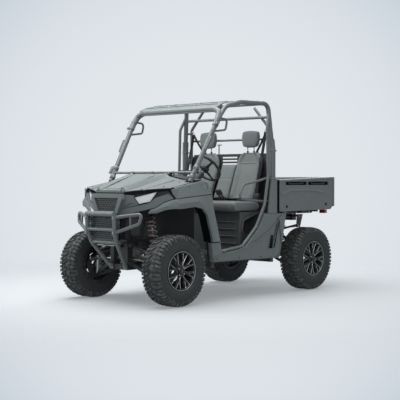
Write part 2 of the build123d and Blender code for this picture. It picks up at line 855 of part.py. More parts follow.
with BuildPart() as hood:
    loft(sections=[hood_section(0, hood_front, panel), hood_section(2, hood_rear, panel)], ruled=True)
    lip = 206.0
    plan = [
        (-lip, hood_front),
        (lip, hood_front),
        (hood_half_x, face_y(hood_half_x) + 6),
        (hood_half_x, -862),
        (540, -862),
        (540, hood_rear),
        (-540, hood_rear),
        (-540, -862),
        (-hood_half_x, -862),
        (-hood_half_x, face_y(hood_half_x) + 6),
    ]
    top_plate(plan, 1000, 1400, mode=Mode.INTERSECT)
    block((-lip, lip), (hood_front, hood_front + panel), (1106, 1126))
    for side_name, side in sides:
        block(
            (side * (hinge_x - 12), side * (hinge_x + 12)),
            (hood_rear - 4, hood_hinge_y),
            (hood_hinge_z - 11, hood_hinge_z - 3),
        )
        rod(
            (side * (hinge_x - 12), hood_hinge_y, hood_hinge_z),
            (side * (hinge_x + 12), hood_hinge_y, hood_hinge_z),
            hinge_radius,
        )
    rod((-400, hood_hinge_y, hood_hinge_z), (400, hood_hinge_y, hood_hinge_z), hinge_bore, mode=Mode.SUBTRACT)
save(hood, "hood")

column_axis = Vector(0, 250, 217).normalized()
wheel_hub = Vector(300, -270, 1355)
column_radius = 30.0
shaft_radius = 12.0
with BuildPart() as dashboard:
    cowl = (
        (-545, 1218),
        (-300, 1258),
        (-262, 1284),
        (262, 1284),
        (300, 1258),
        (545, 1218),
        (545, 1230),
        (302, 1271),
        (264, 1290),
        (-264, 1290),
        (-302, 1271),
        (-545, 1230),
    )
    front_plate(cowl, -782, -600)
    fascia = (
        (-700, 1120),
        (-700, 1225),
        (-606, 1225),
        (-560, 1215),
        (-530, 1180),
        (-548, 1060),
        (-600, 985),
        (-650, 985),
    )
    side_plate(fascia, -545, 545)
    hump = ((-606, 1200), (-610, 1288), (-585, 1284), (-545, 1225), (-530, 1185))
    side_plate(hump, -262, 262)
    block((-500, 500), (firewall_y + tub_wall + seat_gap, -698), (1124, 1196))
    binnacle = ((-600, 1240), (-590, 1330), (-545, 1318), (-520, 1215))
    side_plate(binnacle, wheel_hub.X - 95, wheel_hub.X + 95)
    low_end = wheel_hub - column_axis * 345
    high_end = wheel_hub - column_axis * 88
    rod(tuple(low_end), tuple(high_end), column_radius)
    rod(
        tuple(high_end - column_axis * 30),
        tuple(high_end + column_axis * 10),
        shaft_radius + joint_gap,
        mode=Mode.SUBTRACT,
    )
    for side_name, side in sides:
        for ear_x in (hinge_x - 22, hinge_x + 14):
            block(
                (side * ear_x, side * (ear_x + 8)),
                (hood_hinge_y - hinge_radius, -770),
                (hood_hinge_z - hinge_radius, hood_hinge_z + hinge_radius),
            )
            block((side * ear_x, side * (ear_x + 8)), (-780, -770), (1262, hood_hinge_z))
        rod(
            (side * (hinge_x - 22), hood_hinge_y, hood_hinge_z),
            (side * (hinge_x + 22), hood_hinge_y, hood_hinge_z),
            hinge_bore - joint_gap,
        )
save(dashboard, "dashboard")

wheel_rim_radius = 165.0
grip_radius = 13.0
with BuildPart() as steering_wheel:
    rim_plane = Plane(origin=wheel_hub, x_dir=(1, 0, 0), z_dir=column_axis)
    with Locations(rim_plane):
        Torus(wheel_rim_radius, grip_radius)
    for angle in (90, 210, 330):
        reach = rim_plane.from_local_coords(
            (wheel_rim_radius * cos(radians(angle)), wheel_rim_radius * sin(radians(angle)), 0)
        )
        rod(tuple(wheel_hub - column_axis * 14), tuple(reach), 9)
    rod(tuple(wheel_hub - column_axis * 40), tuple(wheel_hub + column_axis * 8), 42)
    rod(tuple(wheel_hub - column_axis * 116), tuple(wheel_hub), shaft_radius)
save(steering_wheel, "steering_wheel")

with BuildPart() as pedals:
    for pedal_x, half_pedal in ((250, 40), (370, 28)):
        block(
            (pedal_x - 6, pedal_x + 6),
            (-728, -640),
            (760, 776),
        )
        block((pedal_x - 6, pedal_x + 6), (-652, -640), (620, 776))
        block((pedal_x - half_pedal, pedal_x + half_pedal), (-640, -632), (600, 680))
        block((pedal_x - 20, pedal_x + 20), (firewall_y + tub_wall + seat_gap, -722), (745, 790))
save(pedals, "pedals")

# ---------------------------------------------------------------- front of the bodywork
def face_plane(side, depth=0.0):
    """Plane of the slanting front on one side, moved into the body by a depth."""
    normal = (side * face_tilt[1], -face_tilt[0])
    return Plane(
        origin=(side * face_origin[0] - normal[0] * depth, face_origin[1] - normal[1] * depth, 0),
        x_dir=(face_tilt[0], side * face_tilt[1], 0),
        z_dir=(normal[0], normal[1], 0),
    )


def face_piece(points, side, depth_from, depth_to, mode=Mode.ADD):
    """An outline of (distance along the slanting front, z), extruded into the body."""
    with BuildSketch(face_plane(side, depth_to)) as outline:
        with BuildLine():
            Polyline(*[(side * u, z) for u, z in points], close=True)
        make_face()
    extrude(outline.sketch, amount=depth_to - depth_from, mode=mode)


lamp_line = ((0, 1059), (228, 1114), (160, 1020), (45, 996))
strut_line = (
    (-196, 907),
    (-77, 957),
    (150, 1005),
    (209, 1055),
    (339, 1096),
    (398, 1050),
    (296, 1017),
    (208, 959),
    (158, 950),
    (-150, 878),
)
wedge_line = ((-108, 1086), (-4, 1078), (-6, 1056), (40, 990), (-77, 962), (-190, 912), (-160, 990))
wedge_vent = ((-150, 945), (-57, 1003), (-8, 1003), (-70, 968))
with BuildPart() as front_fascia:
    mask = ((-205, 1096), (205, 1096), (225, 1045), (152, 885), (-152, 885), (-225, 1045))
    front_plate(mask, -1405, -1352)
    mouth = ((-176, 1054), (176, 1054), (121, 924), (-121, 924))
    front_plate(mouth, -1410, -1350, mode=Mode.SUBTRACT)
    for side_name, side in sides:
        face_piece(strut_line, side, 0, 22)
        face_piece(wedge_line, side, 0, 22)
        face_piece(wedge_vent, side, -1, 12, mode=Mode.SUBTRACT)
        block((side * 75, side * 125), (-1356, nose_end - seat_gap), (886, 899))
save(front_fascia, "front_fascia")

with BuildPart() as grille:
    mesh_outline = ((-175, 1053), (175, 1053), (120.5, 925), (-120.5, 925))
    with BuildSketch(Plane.XZ.offset(1386)) as mesh:
        with BuildLine():
            Polyline(*mesh_outline, close=True)
        make_face()
        with Locations((0, 989)):
            with HexLocations(9.5, 20, 8):
                RegularPolygon(7.6, 6, mode=Mode.SUBTRACT)
    extrude(mesh.sketch, amount=5)
    with BuildSketch(Plane.XZ.offset(1386)) as border:
        with BuildLine():
            Polyline(*mesh_outline, close=True)
        make_face()
        offset(amount=-5, mode=Mode.SUBTRACT)
    extrude(border.sketch, amount=5)
save(grille, "grille")

with BuildPart() as lamp_housings:
    for side_name, side in sides:
        pocket = ((-100, 1076), (332, 1124), (396, 1060), (330, 1090), (160, 1004), (45, 985), (-4, 1050))
        face_piece(pocket, side, 24, 30)
        face_piece(((8, 1056), (222, 1108), (165, 1020), (48, 1000)), side, 18, 24.5)
save(lamp_housings, "lamp_housings")

with BuildPart() as headlamps:
    for side_name, side in sides:
        face_piece(lamp_line, side, 1, 17.7)
save(headlamps, "headlamps")

# ---------------------------------------------------------------- fenders
for side_name, side in sides:
    with BuildPart() as fender:
        skin = (
            (-1095, 1158),
            (-679, 1229),
            (-620, 1219),
            (-590, 979),
            (-475, 600),
            *arch_line,
        )
        side_plate(skin, side * skin_x, side * skin_outer)
        wing = (
            (137, 900),
            (225, 905),
            (340, 946),
            (436, 950),
            (436, 1156),
            (400, 1152),
            (404, 1046),
            (300, 1012),
            (212, 954),
            (160, 944),
            (137, 912),
        )
        face_piece(wing, side, 0, 14)
        deck = ((-1110, 1146), (-1110, 1156), (-679, 1229), (-620, 1219), (-620, 1209), (-679, 1219))
        side_plate(deck, side * 625, side * (skin_x + 1))
        post = ((-620, 1219), (-590, 979), (-475, 600), (-487, 600), (-602, 979), (-632, 1215))
        side_plate(post, side * 585, side * (skin_x + 1))
        flare = [(y, z) for y, z in arch_line] + [(y + 2, z + 34) for y, z in reversed(arch_line[2:])]
        side_plate(flare + [(-600, 690), (-586, 600)], side * skin_outer, side * (skin_outer + 8))
    save(fender, f"fender_{side_name}")

# ---------------------------------------------------------------- lower body and quarter panels
for side_name, side in sides:
    with BuildPart() as side_panel:
        outline = (
            (-583, 405),
            (-612, 599.7),
            (-475, 599.7),
            (-452, 486),
            (-106, 518),
            (137, 722),
            (226, 856),
            (236, 873),
            (595, 866),
            (517, 525),
            (474, 392),
        )
        side_plate(outline, side * 640, side * skin_outer)
        for vent in (
            ((312, 505), (330, 505), (372, 640), (354, 640)),
            ((345, 505), (363, 505), (474, 830), (456, 830)),
        ):
            side_plate(vent, side * 660, side * (skin_outer + 1), mode=Mode.SUBTRACT)
    save(side_panel, f"side_panel_{side_name}")

with BuildPart() as quarter_panels:
    for side_name, side in sides:
        skin = ((288, 873.3), (350, 1229), (447, 1229), (447, 873.3))
        side_plate(skin, side * 676, side * skin_outer)
        back = ((436, 873.3), (436, 1229), (447, 1229), (447, 873.3))
        side_plate(back, side * 640, side * 677)
save(quarter_panels, "quarter_panels")

# ---------------------------------------------------------------- cab back
cab_back_y = 454.0
shelf_rear = 462.0
cab_back_top = 1519.0
with BuildPart() as cab_back:
    wall_front = seat_box_rear + seat_gap
    block((-565, 565), (wall_front, wall_front + tub_wall), (rail_top + seat_gap, seat_box_top))
    block((-565, 565), (wall_front, shelf_rear), (seat_box_top - tub_wall, seat_box_top))
    wall = (
        (-650, seat_box_top - 1),
        (-650, 1250),
        (-572, 1421),
        (-545, cab_back_top),
        (545, cab_back_top),
        (572, 1421),
        (650, 1250),
        (650, seat_box_top - 1),
    )
    front_plate(wall, cab_back_y, shelf_rear)
    for row in range(3):
        low = 1400 + row * 36
        block((-110, 110), (cab_back_y - 1, shelf_rear + 1), (low, low + 16), mode=Mode.SUBTRACT)
    rod((-165, shelf_rear - 4, cab_back_top - 20), (-165, shelf_rear - 4, 1626), 6)
    rod((-186, shelf_rear - 4, 1624), (-123, shelf_rear - 4, 1624), 5)
    # passage for the propeller shaft
    block((-40, 40), (wall_front - 1, wall_front + tub_wall + 1), (rail_top, 460), mode=Mode.SUBTRACT)
save(cab_back, "cab_back")

# ---------------------------------------------------------------- seats
cushion_half_x = 600.0
cushion_front = -153.0
cushion_rear = 290.0
with BuildPart() as seat_cushion:
    outline = (
        (cushion_front + 14, seat_box_top + seat_gap),
        (cushion_front, 930),
        (cushion_front + 8, 990),
        (cushion_front + 40, seat_top),
        (cushion_rear, seat_top - 6),
        (cushion_rear, seat_box_top + seat_gap),
    )
    side_plate(outline, -cushion_half_x, cushion_half_x)
save(seat_cushion, "seat_cushion")

back_line = ((236, 1007), (400, 1410), (438, 1530), (446, 1545), (452, 1545), (452, 1480), (330, 1007))
middle_line = ((262, 1007), (408, 1370), (425, 1420), (445, 1420), (445, 1390), (335, 1007))
with BuildPart() as seat_backs:
    for side_name, side in sides:
        side_plate(back_line, side * (seat_centre - seat_width / 2), side * (seat_centre + seat_width / 2))
    middle_half = seat_centre - seat_width / 2 - seat_gap
    side_plate(middle_line, -middle_half, middle_half)
save(seat_backs, "seat_backs")

headrest_low = 1576.0
with BuildPart() as headrests:
    for side_name, side in sides:
        pad = (
            (402, 1590),
            (396, 1700),
            (412, 1770),
            (440, 1780),
            (470, 1765),
            (480, 1640),
            (470, headrest_low),
            (420, headrest_low),
        )
        side_plate(pad, side * (seat_centre - 128), side * (seat_centre + 128))
        for post_x in (seat_centre - 45, seat_centre + 45):
            rod((side * post_x, 448, 1545.3), (side * post_x, 448, headrest_low + 20), 6)
save(headrests, "headrests")

with BuildPart() as seat_belts:
    for side_name, side in sides:
        webbing = (
            (440, 1780),
            (398, 1600),
            (330, 1350),
            (270, 1060),
            (273, 1060),
            (333, 1349),
            (401, 1599),
            (443, 1779),
        )
        side_plate(webbing, side * 514, side * (belt_leg_x - brace_tube / 2 - seat_gap))
        block((side * 45, side * 75), (205, 232), (1007, 1090))
        block((side * 42, side * 78), (198, 238), (1085, 1120))
save(seat_belts, "seat_belts")

with BuildPart() as cab_handles:
    for side_name, side in sides:
        hip_bar = (
            (628, pillar_y - sleeve_radius + 1, 1258),
            (636, 195, 1222),
            (636, -60, 1182),
            (636, -134, 1040),
            (636, -20, 1022),
            (622, 300, 1000),
            (618, pillar_y - half_cage + 1, 1000),
        )
        grip = (
            (614, -425, 1862),
            (614, -292, 1850),
            (614, -318, 1742),
            (610, -500, 1722),
        )
        tube(mirror_x(hip_bar, side), light_tube, bend=(60, 60, 40, 20, 60))
        tube(mirror_x(grip, side), 22, bend=35)
    for cage_side in cage_sides:
        add(cage_side, mode=Mode.SUBTRACT)
save(cab_handles, "cab_handles")

# ---------------------------------------------------------------- front bumper, winch and radiator
bumper_y = front_end + 25
bumper_x = 199.0
with BuildPart() as front_bumper:
    for side_name, side in sides:
        upright = (
            (bumper_x, bumper_y, 912),
            (bumper_x, -1474, 734),
            (184, -1430, 614),
            (118, -1262, 392),
            (100, nose_end - 14, 372),
        )
        tube(mirror_x(upright, side), 42, bend=(200, 120, 40))
        block(
            (side * (nose_spread - half_rail), side * (nose_spread + half_rail)),
            (nose_end - 16, nose_end - seat_gap),
            (rail_low, rail_top),
        )
        wing = (
            (bumper_x, -1474, 866),
            (462, -1356, 902),
            (440, -1374, 806),
            (bumper_x, -1472, 716),
        )
        tube(mirror_x(wing, side), 34, bend=28)
        rod((side * 352, -1408, 880), (side * 356, -1412, 776), 10)
        for stay_z in (868, 630):
            rod((side * 180, -1460, stay_z), (side * 104, nose_end - seat_gap, stay_z), 14)
    # columns: half length, y, z, diameter
    for half_length, bar_y, bar_z, diameter in (
        (bumper_x, bumper_y, 899, 50),
        (bumper_x, -1474, 745, 34),
        (186, -1434, 618, 34),
    ):
        rod((-half_length, bar_y, bar_z), (half_length, bar_y, bar_z), diameter / 2)
    # trims the feet of the bars square to the nose of the chassis
    block((-300, 300), (nose_end - seat_gap, nose_end + 60), (300, 950), mode=Mode.SUBTRACT)
save(front_bumper, "front_bumper")

with BuildPart() as radiator:
    block((-70, 70), (-1290, nose_end - seat_gap), (650, 845))
    block((-160, 160), (-1290, -1250), (650, 845))
save(radiator, "radiator")

with BuildPart() as winch:
    block((-62, 62), (-1410, nose_end - seat_gap), (582, 592))
    block((-125, 125), (-1410, -1390), (582, 592))
    rod((-90, -1360, 625), (90, -1360, 625), 26)
    for side_name, side in sides:
        block((side * 70, side * 108), (-1392, -1328), (591, 655))
    block((-108, 108), (-1392, -1328), (582, 600))
save(winch, "winch")

# ---------------------------------------------------------------- cargo bed and tailgate
tailgate_front = rear_end - tailgate_thickness
bed_rear = tailgate_front - 8
tailgate_pin_z = 938.0
tailgate_pin_y = rear_end - tailgate_thickness / 2
with BuildPart() as bed:
    wall = (
        (bed_front, 889),
        (bed_front, bed_top_front),
        (bed_rear, bed_top_rear),
        (bed_rear, 926),
        (1425, 895),
    )
    for side_name, side in sides:
        side_plate(wall, side * (bed_half_width - bed_wall), side * bed_half_width)
        block(
            (side * (deck_x - 20), side * (deck_x + 20)),
            (deck_y + 5, deck_end - 15),
            (deck_top + seat_gap, bed_floor_z - 2),
        )
        block(
            (side * (deck_x - 16), side * (deck_x + 16)),
            (bed_hinge_y - 22, bed_hinge_y + 22),
            (bed_hinge_z - 22, bed_floor_z - 2),
        )
        rod(
            (side * (deck_x - 17), bed_hinge_y, bed_hinge_z),
            (side * (deck_x + 17), bed_hinge_y, bed_hinge_z),
            hinge_pin + joint_gap,
            mode=Mode.SUBTRACT,
        )
        ear_x = (side * 550, side * 570)
        ear_top = tailgate_pin_z + 12
        block(ear_x, (bed_rear - 20, tailgate_pin_y + 12), (tailgate_pin_z - 12, ear_top))
        block(ear_x, (bed_rear - 40, bed_rear - 5), (bed_floor_z + 10, ear_top))
        rod(
            (side * 545, tailgate_pin_y, tailgate_pin_z),
            (side * 575, tailgate_pin_y, tailgate_pin_z),
            8 + joint_gap,
            mode=Mode.SUBTRACT,
        )
        slot_x = (side * 660, side * (bed_half_width + 1))
        for slot_y in (594, 1000):
            block(slot_x, (slot_y, slot_y + 385), (1172, 1212), mode=Mode.SUBTRACT)
    inside = bed_half_width - bed_wall + 1
    block((-inside, inside), (bed_front, bed_rear), (bed_floor_z - 4, bed_floor_z + 12))
    block((-inside, inside), (bed_front, bed_front + 30), (bed_floor_z, bed_top_front))
    # raised panel that cargo stands on
    block((-600, 600), (540, 1400), (bed_floor_z + 11, bed_floor_z + 14))
    block((-deck_x, deck_x), (bed_front + 60, bed_front + 100), (deck_top + 6, bed_floor_z - 2))
save(bed, "bed")

with BuildPart() as tailgate:
    block(
        (-bed_half_width, bed_half_width),
        (tailgate_front, rear_end),
        (tailgate_pin_z - 10, bed_top_rear),
    )
    block((-600, 600), (tailgate_front + 12, rear_end + 1), (1010, 1200), mode=Mode.SUBTRACT)
    for side_name, side in sides:
        block(
            (side * 543, side * 577),
            (tailgate_front - 1, rear_end + 1),
            (tailgate_pin_z - 11, tailgate_pin_z + 24),
            mode=Mode.SUBTRACT,
        )
    for side_name, side in sides:
        rod(
            (side * 538, tailgate_pin_y, tailgate_pin_z),
            (side * 582, tailgate_pin_y, tailgate_pin_z),
            8,
        )
    block((-90, 90), (rear_end - 22, rear_end - 4), (1210, 1240))
save(tailgate, "tailgate")

with BuildPart() as tail_lamps:
    for side_name, side in sides:
        block((side * 560, side * 640), (1380, 1424), (848, 888.7))
save(tail_lamps, "tail_lamps")
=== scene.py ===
# %% [markdown]
# # A side-by-side utility vehicle
#
# The solids of this vehicle were made first, in a CAD program, and they are loaded here as a
# frame that doesn't change. Blender then adds what solids are poor at: tread, spokes, coils,
# stitched seats, mesh, bolts and, above all, finishes.
#
# Everything is in metres. Up is +Z, the front of the vehicle looks towards -Y, and its left
# side is towards +X.

# %% Load the frame
import bpy, bmesh, json, math
from functools import partial
from mathutils import Matrix, Vector
from mathutils.geometry import tessellate_polygon


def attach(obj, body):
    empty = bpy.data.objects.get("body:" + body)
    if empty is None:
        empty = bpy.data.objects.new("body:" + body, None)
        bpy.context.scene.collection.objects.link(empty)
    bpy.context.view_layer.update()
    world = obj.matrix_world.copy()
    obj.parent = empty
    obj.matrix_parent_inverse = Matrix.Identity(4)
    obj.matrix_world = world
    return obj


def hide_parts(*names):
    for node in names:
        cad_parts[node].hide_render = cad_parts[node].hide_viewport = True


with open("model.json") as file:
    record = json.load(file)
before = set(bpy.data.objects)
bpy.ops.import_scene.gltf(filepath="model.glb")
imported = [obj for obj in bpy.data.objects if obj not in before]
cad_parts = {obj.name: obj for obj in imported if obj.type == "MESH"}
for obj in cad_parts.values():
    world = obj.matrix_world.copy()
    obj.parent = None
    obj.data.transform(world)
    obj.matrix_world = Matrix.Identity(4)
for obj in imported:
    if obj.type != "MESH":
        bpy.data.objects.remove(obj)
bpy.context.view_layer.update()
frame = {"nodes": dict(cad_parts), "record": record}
nodes = frame["nodes"]

# %% [markdown]
# ## Camera
#
# The vehicle stands a little turned, seen from its front left corner and from knee height.
# The lens is long, about 90 mm, so the near wheel isn't much larger than the far one. A camera
# is placed by a point and by the point that it looks at.

# %% Camera
CAMERA_AT = Vector((7.360, -8.000, 1.240))
LOOKS_AT = Vector((-0.019, -0.018, 1.011))
LENS_MM = 89.8
SENSOR_MM = 36.0

lens = bpy.data.cameras.new("camera")
lens.lens = LENS_MM
lens.sensor_width = SENSOR_MM
camera = bpy.data.objects.new("camera", lens)
camera.location = CAMERA_AT
camera.rotation_mode = "QUATERNION"
camera.rotation_quaternion = (LOOKS_AT - CAMERA_AT).to_track_quat("-Z", "Y")
bpy.context.scene.collection.objects.link(camera)
bpy.context.scene.camera = camera
bpy.context.scene.view_settings.view_transform = "Standard"
print("camera", round((LOOKS_AT - CAMERA_AT).length, 2), "m away")

# %% [markdown]
# ## Studio
#
# A studio has one large soft lamp above and in front, a weaker one on each side, and a sheet
# of pale paper that runs on behind the object. The paper could be modelled with a sweep, but a
# floor that fades out into an equally pale world looks the same and casts no edge.

# %% Background and lamps
PAPER = (0.765, 0.800, 0.835)
# colour of the paper at the edges of the view: painted shade
PAPER_SHADE_AT_EDGE = (0.590, 0.650, 0.716)
SKY_LIGHT, SKY_STRENGTH = (0.93, 0.97, 1.0), 0.34
EDGE_OF_VIEW = 0.00143
# sockets of a Mix node that mixes colours
MIX_LOW, MIX_HIGH, MIX_OUT = 6, 7, 2


def node_maker(tree):
    """A function that adds a node to a tree and fills in its sockets and settings."""

    def make(kind, **settings):
        node = tree.nodes.new(kind)
        for key, value in settings.items():
            if key in node.inputs:
                node.inputs[key].default_value = value
            else:
                setattr(node, key, value)
        return node

    return make


def node_joiner(tree):
    """A function that links an output of one node to an input of another."""

    def join(source, leaving, target, entering):
        tree.links.new(source.outputs[leaving], target.inputs[entering])

    return join


def node_tree(owner):
    """Empties an owner's node tree and returns its maker and joiner of nodes."""
    owner.use_nodes = True
    owner.node_tree.nodes.clear()
    return node_maker(owner.node_tree), node_joiner(owner.node_tree)


def map_range(make, low, high, to_low=0.0, to_high=1.0, **settings):
    """A node that turns low..high into to_low..to_high."""
    node = make("ShaderNodeMapRange", **settings)
    ends = {"From Min": low, "From Max": high, "To Min": to_low, "To Max": to_high}
    for socket, value in ends.items():
        node.inputs[socket].default_value = value
    return node


def rgba(colour):
    return (*colour, 1.0)


def studio_world():
    """Paper where the camera looks, also by mirrors and through glass, and sky light elsewhere. The paper
    turns darker towards the edges of the view: painted shade.
    """
    world = bpy.data.worlds.new("studio")
    bpy.context.scene.world = world
    make, join = node_tree(world)
    direction = make("ShaderNodeTexCoord")
    aside = make("ShaderNodeVectorMath", operation="DOT_PRODUCT")
    aside.inputs[1].default_value = (LOOKS_AT - CAMERA_AT).normalized()
    away = make("ShaderNodeMath", operation="SUBTRACT")
    away.inputs[0].default_value = 1.0
    square = make("ShaderNodeMath", operation="MULTIPLY")
    fade = map_range(make, 0.0, EDGE_OF_VIEW)
    paper = make("ShaderNodeMix", data_type="RGBA")
    paper.inputs[MIX_LOW].default_value = rgba(PAPER)
    paper.inputs[MIX_HIGH].default_value = rgba(PAPER_SHADE_AT_EDGE)
    seen = make("ShaderNodeBackground", Strength=1.0)
    light = make("ShaderNodeBackground", Color=rgba(SKY_LIGHT), Strength=SKY_STRENGTH)
    rays = make("ShaderNodeLightPath")
    either = make("ShaderNodeMath", operation="MAXIMUM")
    also = make("ShaderNodeMath", operation="MAXIMUM")
    mix = make("ShaderNodeMixShader")
    out = make("ShaderNodeOutputWorld")
    join(direction, "Generated", aside, 0)
    join(aside, "Value", away, 1)
    join(away, 0, square, 0)
    join(away, 0, square, 1)
    join(square, 0, fade, "Value")
    join(fade, 0, paper, 0)
    join(paper, MIX_OUT, seen, "Color")
    join(rays, "Is Camera Ray", either, 0)
    join(rays, "Is Transmission Ray", either, 1)
    join(either, 0, also, 0)
    join(rays, "Is Glossy Ray", also, 1)
    join(also, 0, mix, 0)
    join(light, 0, mix, 1)
    join(seen, 0, mix, 2)
    join(mix, 0, out, "Surface")


studio_world()


def lamp(name, at, aim, size, watts, colour=(1, 1, 1)):
    """A square soft lamp at a point, aimed at another."""
    data = bpy.data.lights.new(name, "AREA")
    data.size = size
    data.energy = watts
    data.color = colour
    made = bpy.data.objects.new(name, data)
    made.location = at
    made.rotation_mode = "QUATERNION"
    made.rotation_quaternion = (Vector(aim) - Vector(at)).to_track_quat("-Z", "Y")
    bpy.context.scene.collection.objects.link(made)
    print("lamp", name, watts, "W")


MIDDLE = (0, 0, 0.9)
lamp("lamp_top", (-0.6, -0.8, 5.2), MIDDLE, 5.0, 400)
lamp("lamp_left_front", (5.0, -4.2, 3.0), MIDDLE, 2.6, 62, (1.0, 0.98, 0.96))
lamp("lamp_right_front", (-4.8, -4.4, 2.6), MIDDLE, 2.6, 75)
lamp("lamp_rear", (-2.0, 5.2, 3.6), MIDDLE, 3.0, 130, (0.95, 0.98, 1.0))

# %% Floor
FLOOR_REACH = 6.5
FADE_FROM, FADE_TO, FADE_LEAST = 1.7, 5.2, 0.30
FLOOR_COLOUR = (0.545, 0.575, 0.590)


def fading_floor():
    """Pale floor whose rim fades into the world's colour."""
    bm = bmesh.new()
    bmesh.ops.create_circle(bm, cap_ends=True, segments=96, radius=FLOOR_REACH)
    data = bpy.data.meshes.new("floor")
    bm.to_mesh(data)
    bm.free()
    made = bpy.data.objects.new("floor", data)
    bpy.context.scene.collection.objects.link(made)
    paper = bpy.data.materials.new("paper floor")
    make, join = node_tree(paper)
    spot = make("ShaderNodeTexCoord")
    far = make("ShaderNodeVectorMath", operation="LENGTH")
    fade = map_range(make, FADE_FROM, FADE_TO, FADE_LEAST, interpolation_type="SMOOTHSTEP")
    paint = make("ShaderNodeBsdfDiffuse", Color=rgba(FLOOR_COLOUR))
    clear = make("ShaderNodeBsdfTransparent")
    mix = make("ShaderNodeMixShader")
    out = make("ShaderNodeOutputMaterial")
    join(spot, "Object", far, 0)
    join(far, "Value", fade, "Value")
    join(fade, 0, mix, 0)
    join(paint, 0, mix, 1)
    join(clear, 0, mix, 2)
    join(mix, 0, out, "Surface")
    data.materials.append(paper)


fading_floor()
print("floor", FLOOR_REACH, "m round")

# %% [markdown]
# ## Shared effects
#
# Real moulded and painted parts have three things in common: a fine grain, edges that are a
# little paler where hands and boots rub them, and dust that settles on what faces up. Each is
# made once as a node group with named sockets, and each finish puts in its own amounts.

# %% Node groups: grain, worn edges, dust
def shader_group(name, inputs, output_names):
    """A new group of number sockets; inputs are (name, value) pairs."""
    group = bpy.data.node_groups.new(name, "ShaderNodeTree")
    for socket, value in inputs:
        made = group.interface.new_socket(socket, in_out="INPUT", socket_type="NodeSocketFloat")
        made.default_value = value
    for socket in output_names:
        group.interface.new_socket(socket, in_out="OUTPUT", socket_type="NodeSocketFloat")
    make = node_maker(group)
    return group, make, node_joiner(group), make("NodeGroupInput"), make("NodeGroupOutput")


def on_object(make, join, kind, **settings):
    """A texture node that reads the object's own coordinates."""
    texture = make(kind, **settings)
    join(make("ShaderNodeTexCoord"), "Object", texture, "Vector")
    return texture


def grain_group():
    """Fine moulded texture: a height and a slight change of tone."""
    group, make, join, inside, outside = shader_group(
        "moulded grain", [("Scale", 900.0), ("Detail", 3.0)], ["Height", "Tone"])
    fine = on_object(make, join, "ShaderNodeTexNoise", Roughness=0.6)
    broad = on_object(make, join, "ShaderNodeTexNoise", Scale=3.2, Detail=4.0)
    join(inside, "Scale", fine, "Scale")
    join(inside, "Detail", fine, "Detail")
    join(fine, "Fac", outside, "Height")
    join(broad, "Fac", outside, "Tone")
    return group


def wear_group():
    """Mask that is 1 on outer edges, broken up by noise."""
    group, make, join, inside, outside = shader_group(
        "worn edges", [("Sharpness", 9.0), ("Break up", 26.0)], ["Mask"])
    shape = make("ShaderNodeNewGeometry")
    raised = make("ShaderNodeMath", operation="SUBTRACT")
    raised.inputs[1].default_value = 0.505
    scaled = make("ShaderNodeMath", operation="MULTIPLY", use_clamp=True)
    patches = on_object(make, join, "ShaderNodeTexNoise", Detail=5.0)
    ramp = map_range(make, 0.38, 0.62)
    both = make("ShaderNodeMath", operation="MULTIPLY", use_clamp=True)
    join(shape, "Pointiness", raised, 0)
    join(raised, 0, scaled, 0)
    join(inside, "Sharpness", scaled, 1)
    join(inside, "Break up", patches, "Scale")
    join(patches, "Fac", ramp, "Value")
    join(scaled, 0, both, 0)
    join(ramp, 0, both, 1)
    join(both, 0, outside, "Mask")
    return group


def dust_group():
    """Mask of dust in clouds on what faces up."""
    group, make, join, inside, outside = shader_group(
        "settled dust", [("Amount", 0.3), ("Scale", 7.0)], ["Mask"])
    shape = make("ShaderNodeNewGeometry")
    facing = make("ShaderNodeSeparateXYZ")
    up = map_range(make, 0.1, 1.0)
    clouds = on_object(make, join, "ShaderNodeTexNoise", Detail=6.0, Roughness=0.65)
    ramp = map_range(make, 0.35, 0.75)
    both = make("ShaderNodeMath", operation="MULTIPLY")
    last = make("ShaderNodeMath", operation="MULTIPLY", use_clamp=True)
    join(shape, "Normal", facing, 0)
    join(facing, "Z", up, "Value")
    join(inside, "Scale", clouds, "Scale")
    join(clouds, "Fac", ramp, "Value")
    join(up, 0, both, 0)
    join(ramp, 0, both, 1)
    join(both, 0, last, 0)
    join(inside, "Amount", last, 1)
    join(last, 0, outside, "Mask")
    return group


GRAIN, WEAR, DUST = grain_group(), wear_group(), dust_group()
print("groups", [group.name for group in (GRAIN, WEAR, DUST)])

# %% [markdown]
# ## Finishes
#
# One function mixes a finish: a base colour that drifts a little, a paler colour on worn
# edges, dust, and the grain as a bump. Weaves, hides and brushed metal have a texture of their
# own, so they hand in a different height.

# %% Finish maker
DUST_COLOUR = (0.28, 0.285, 0.275)
ROUGH_DRIFT, ROUGH_LEAST = 0.07, 0.03


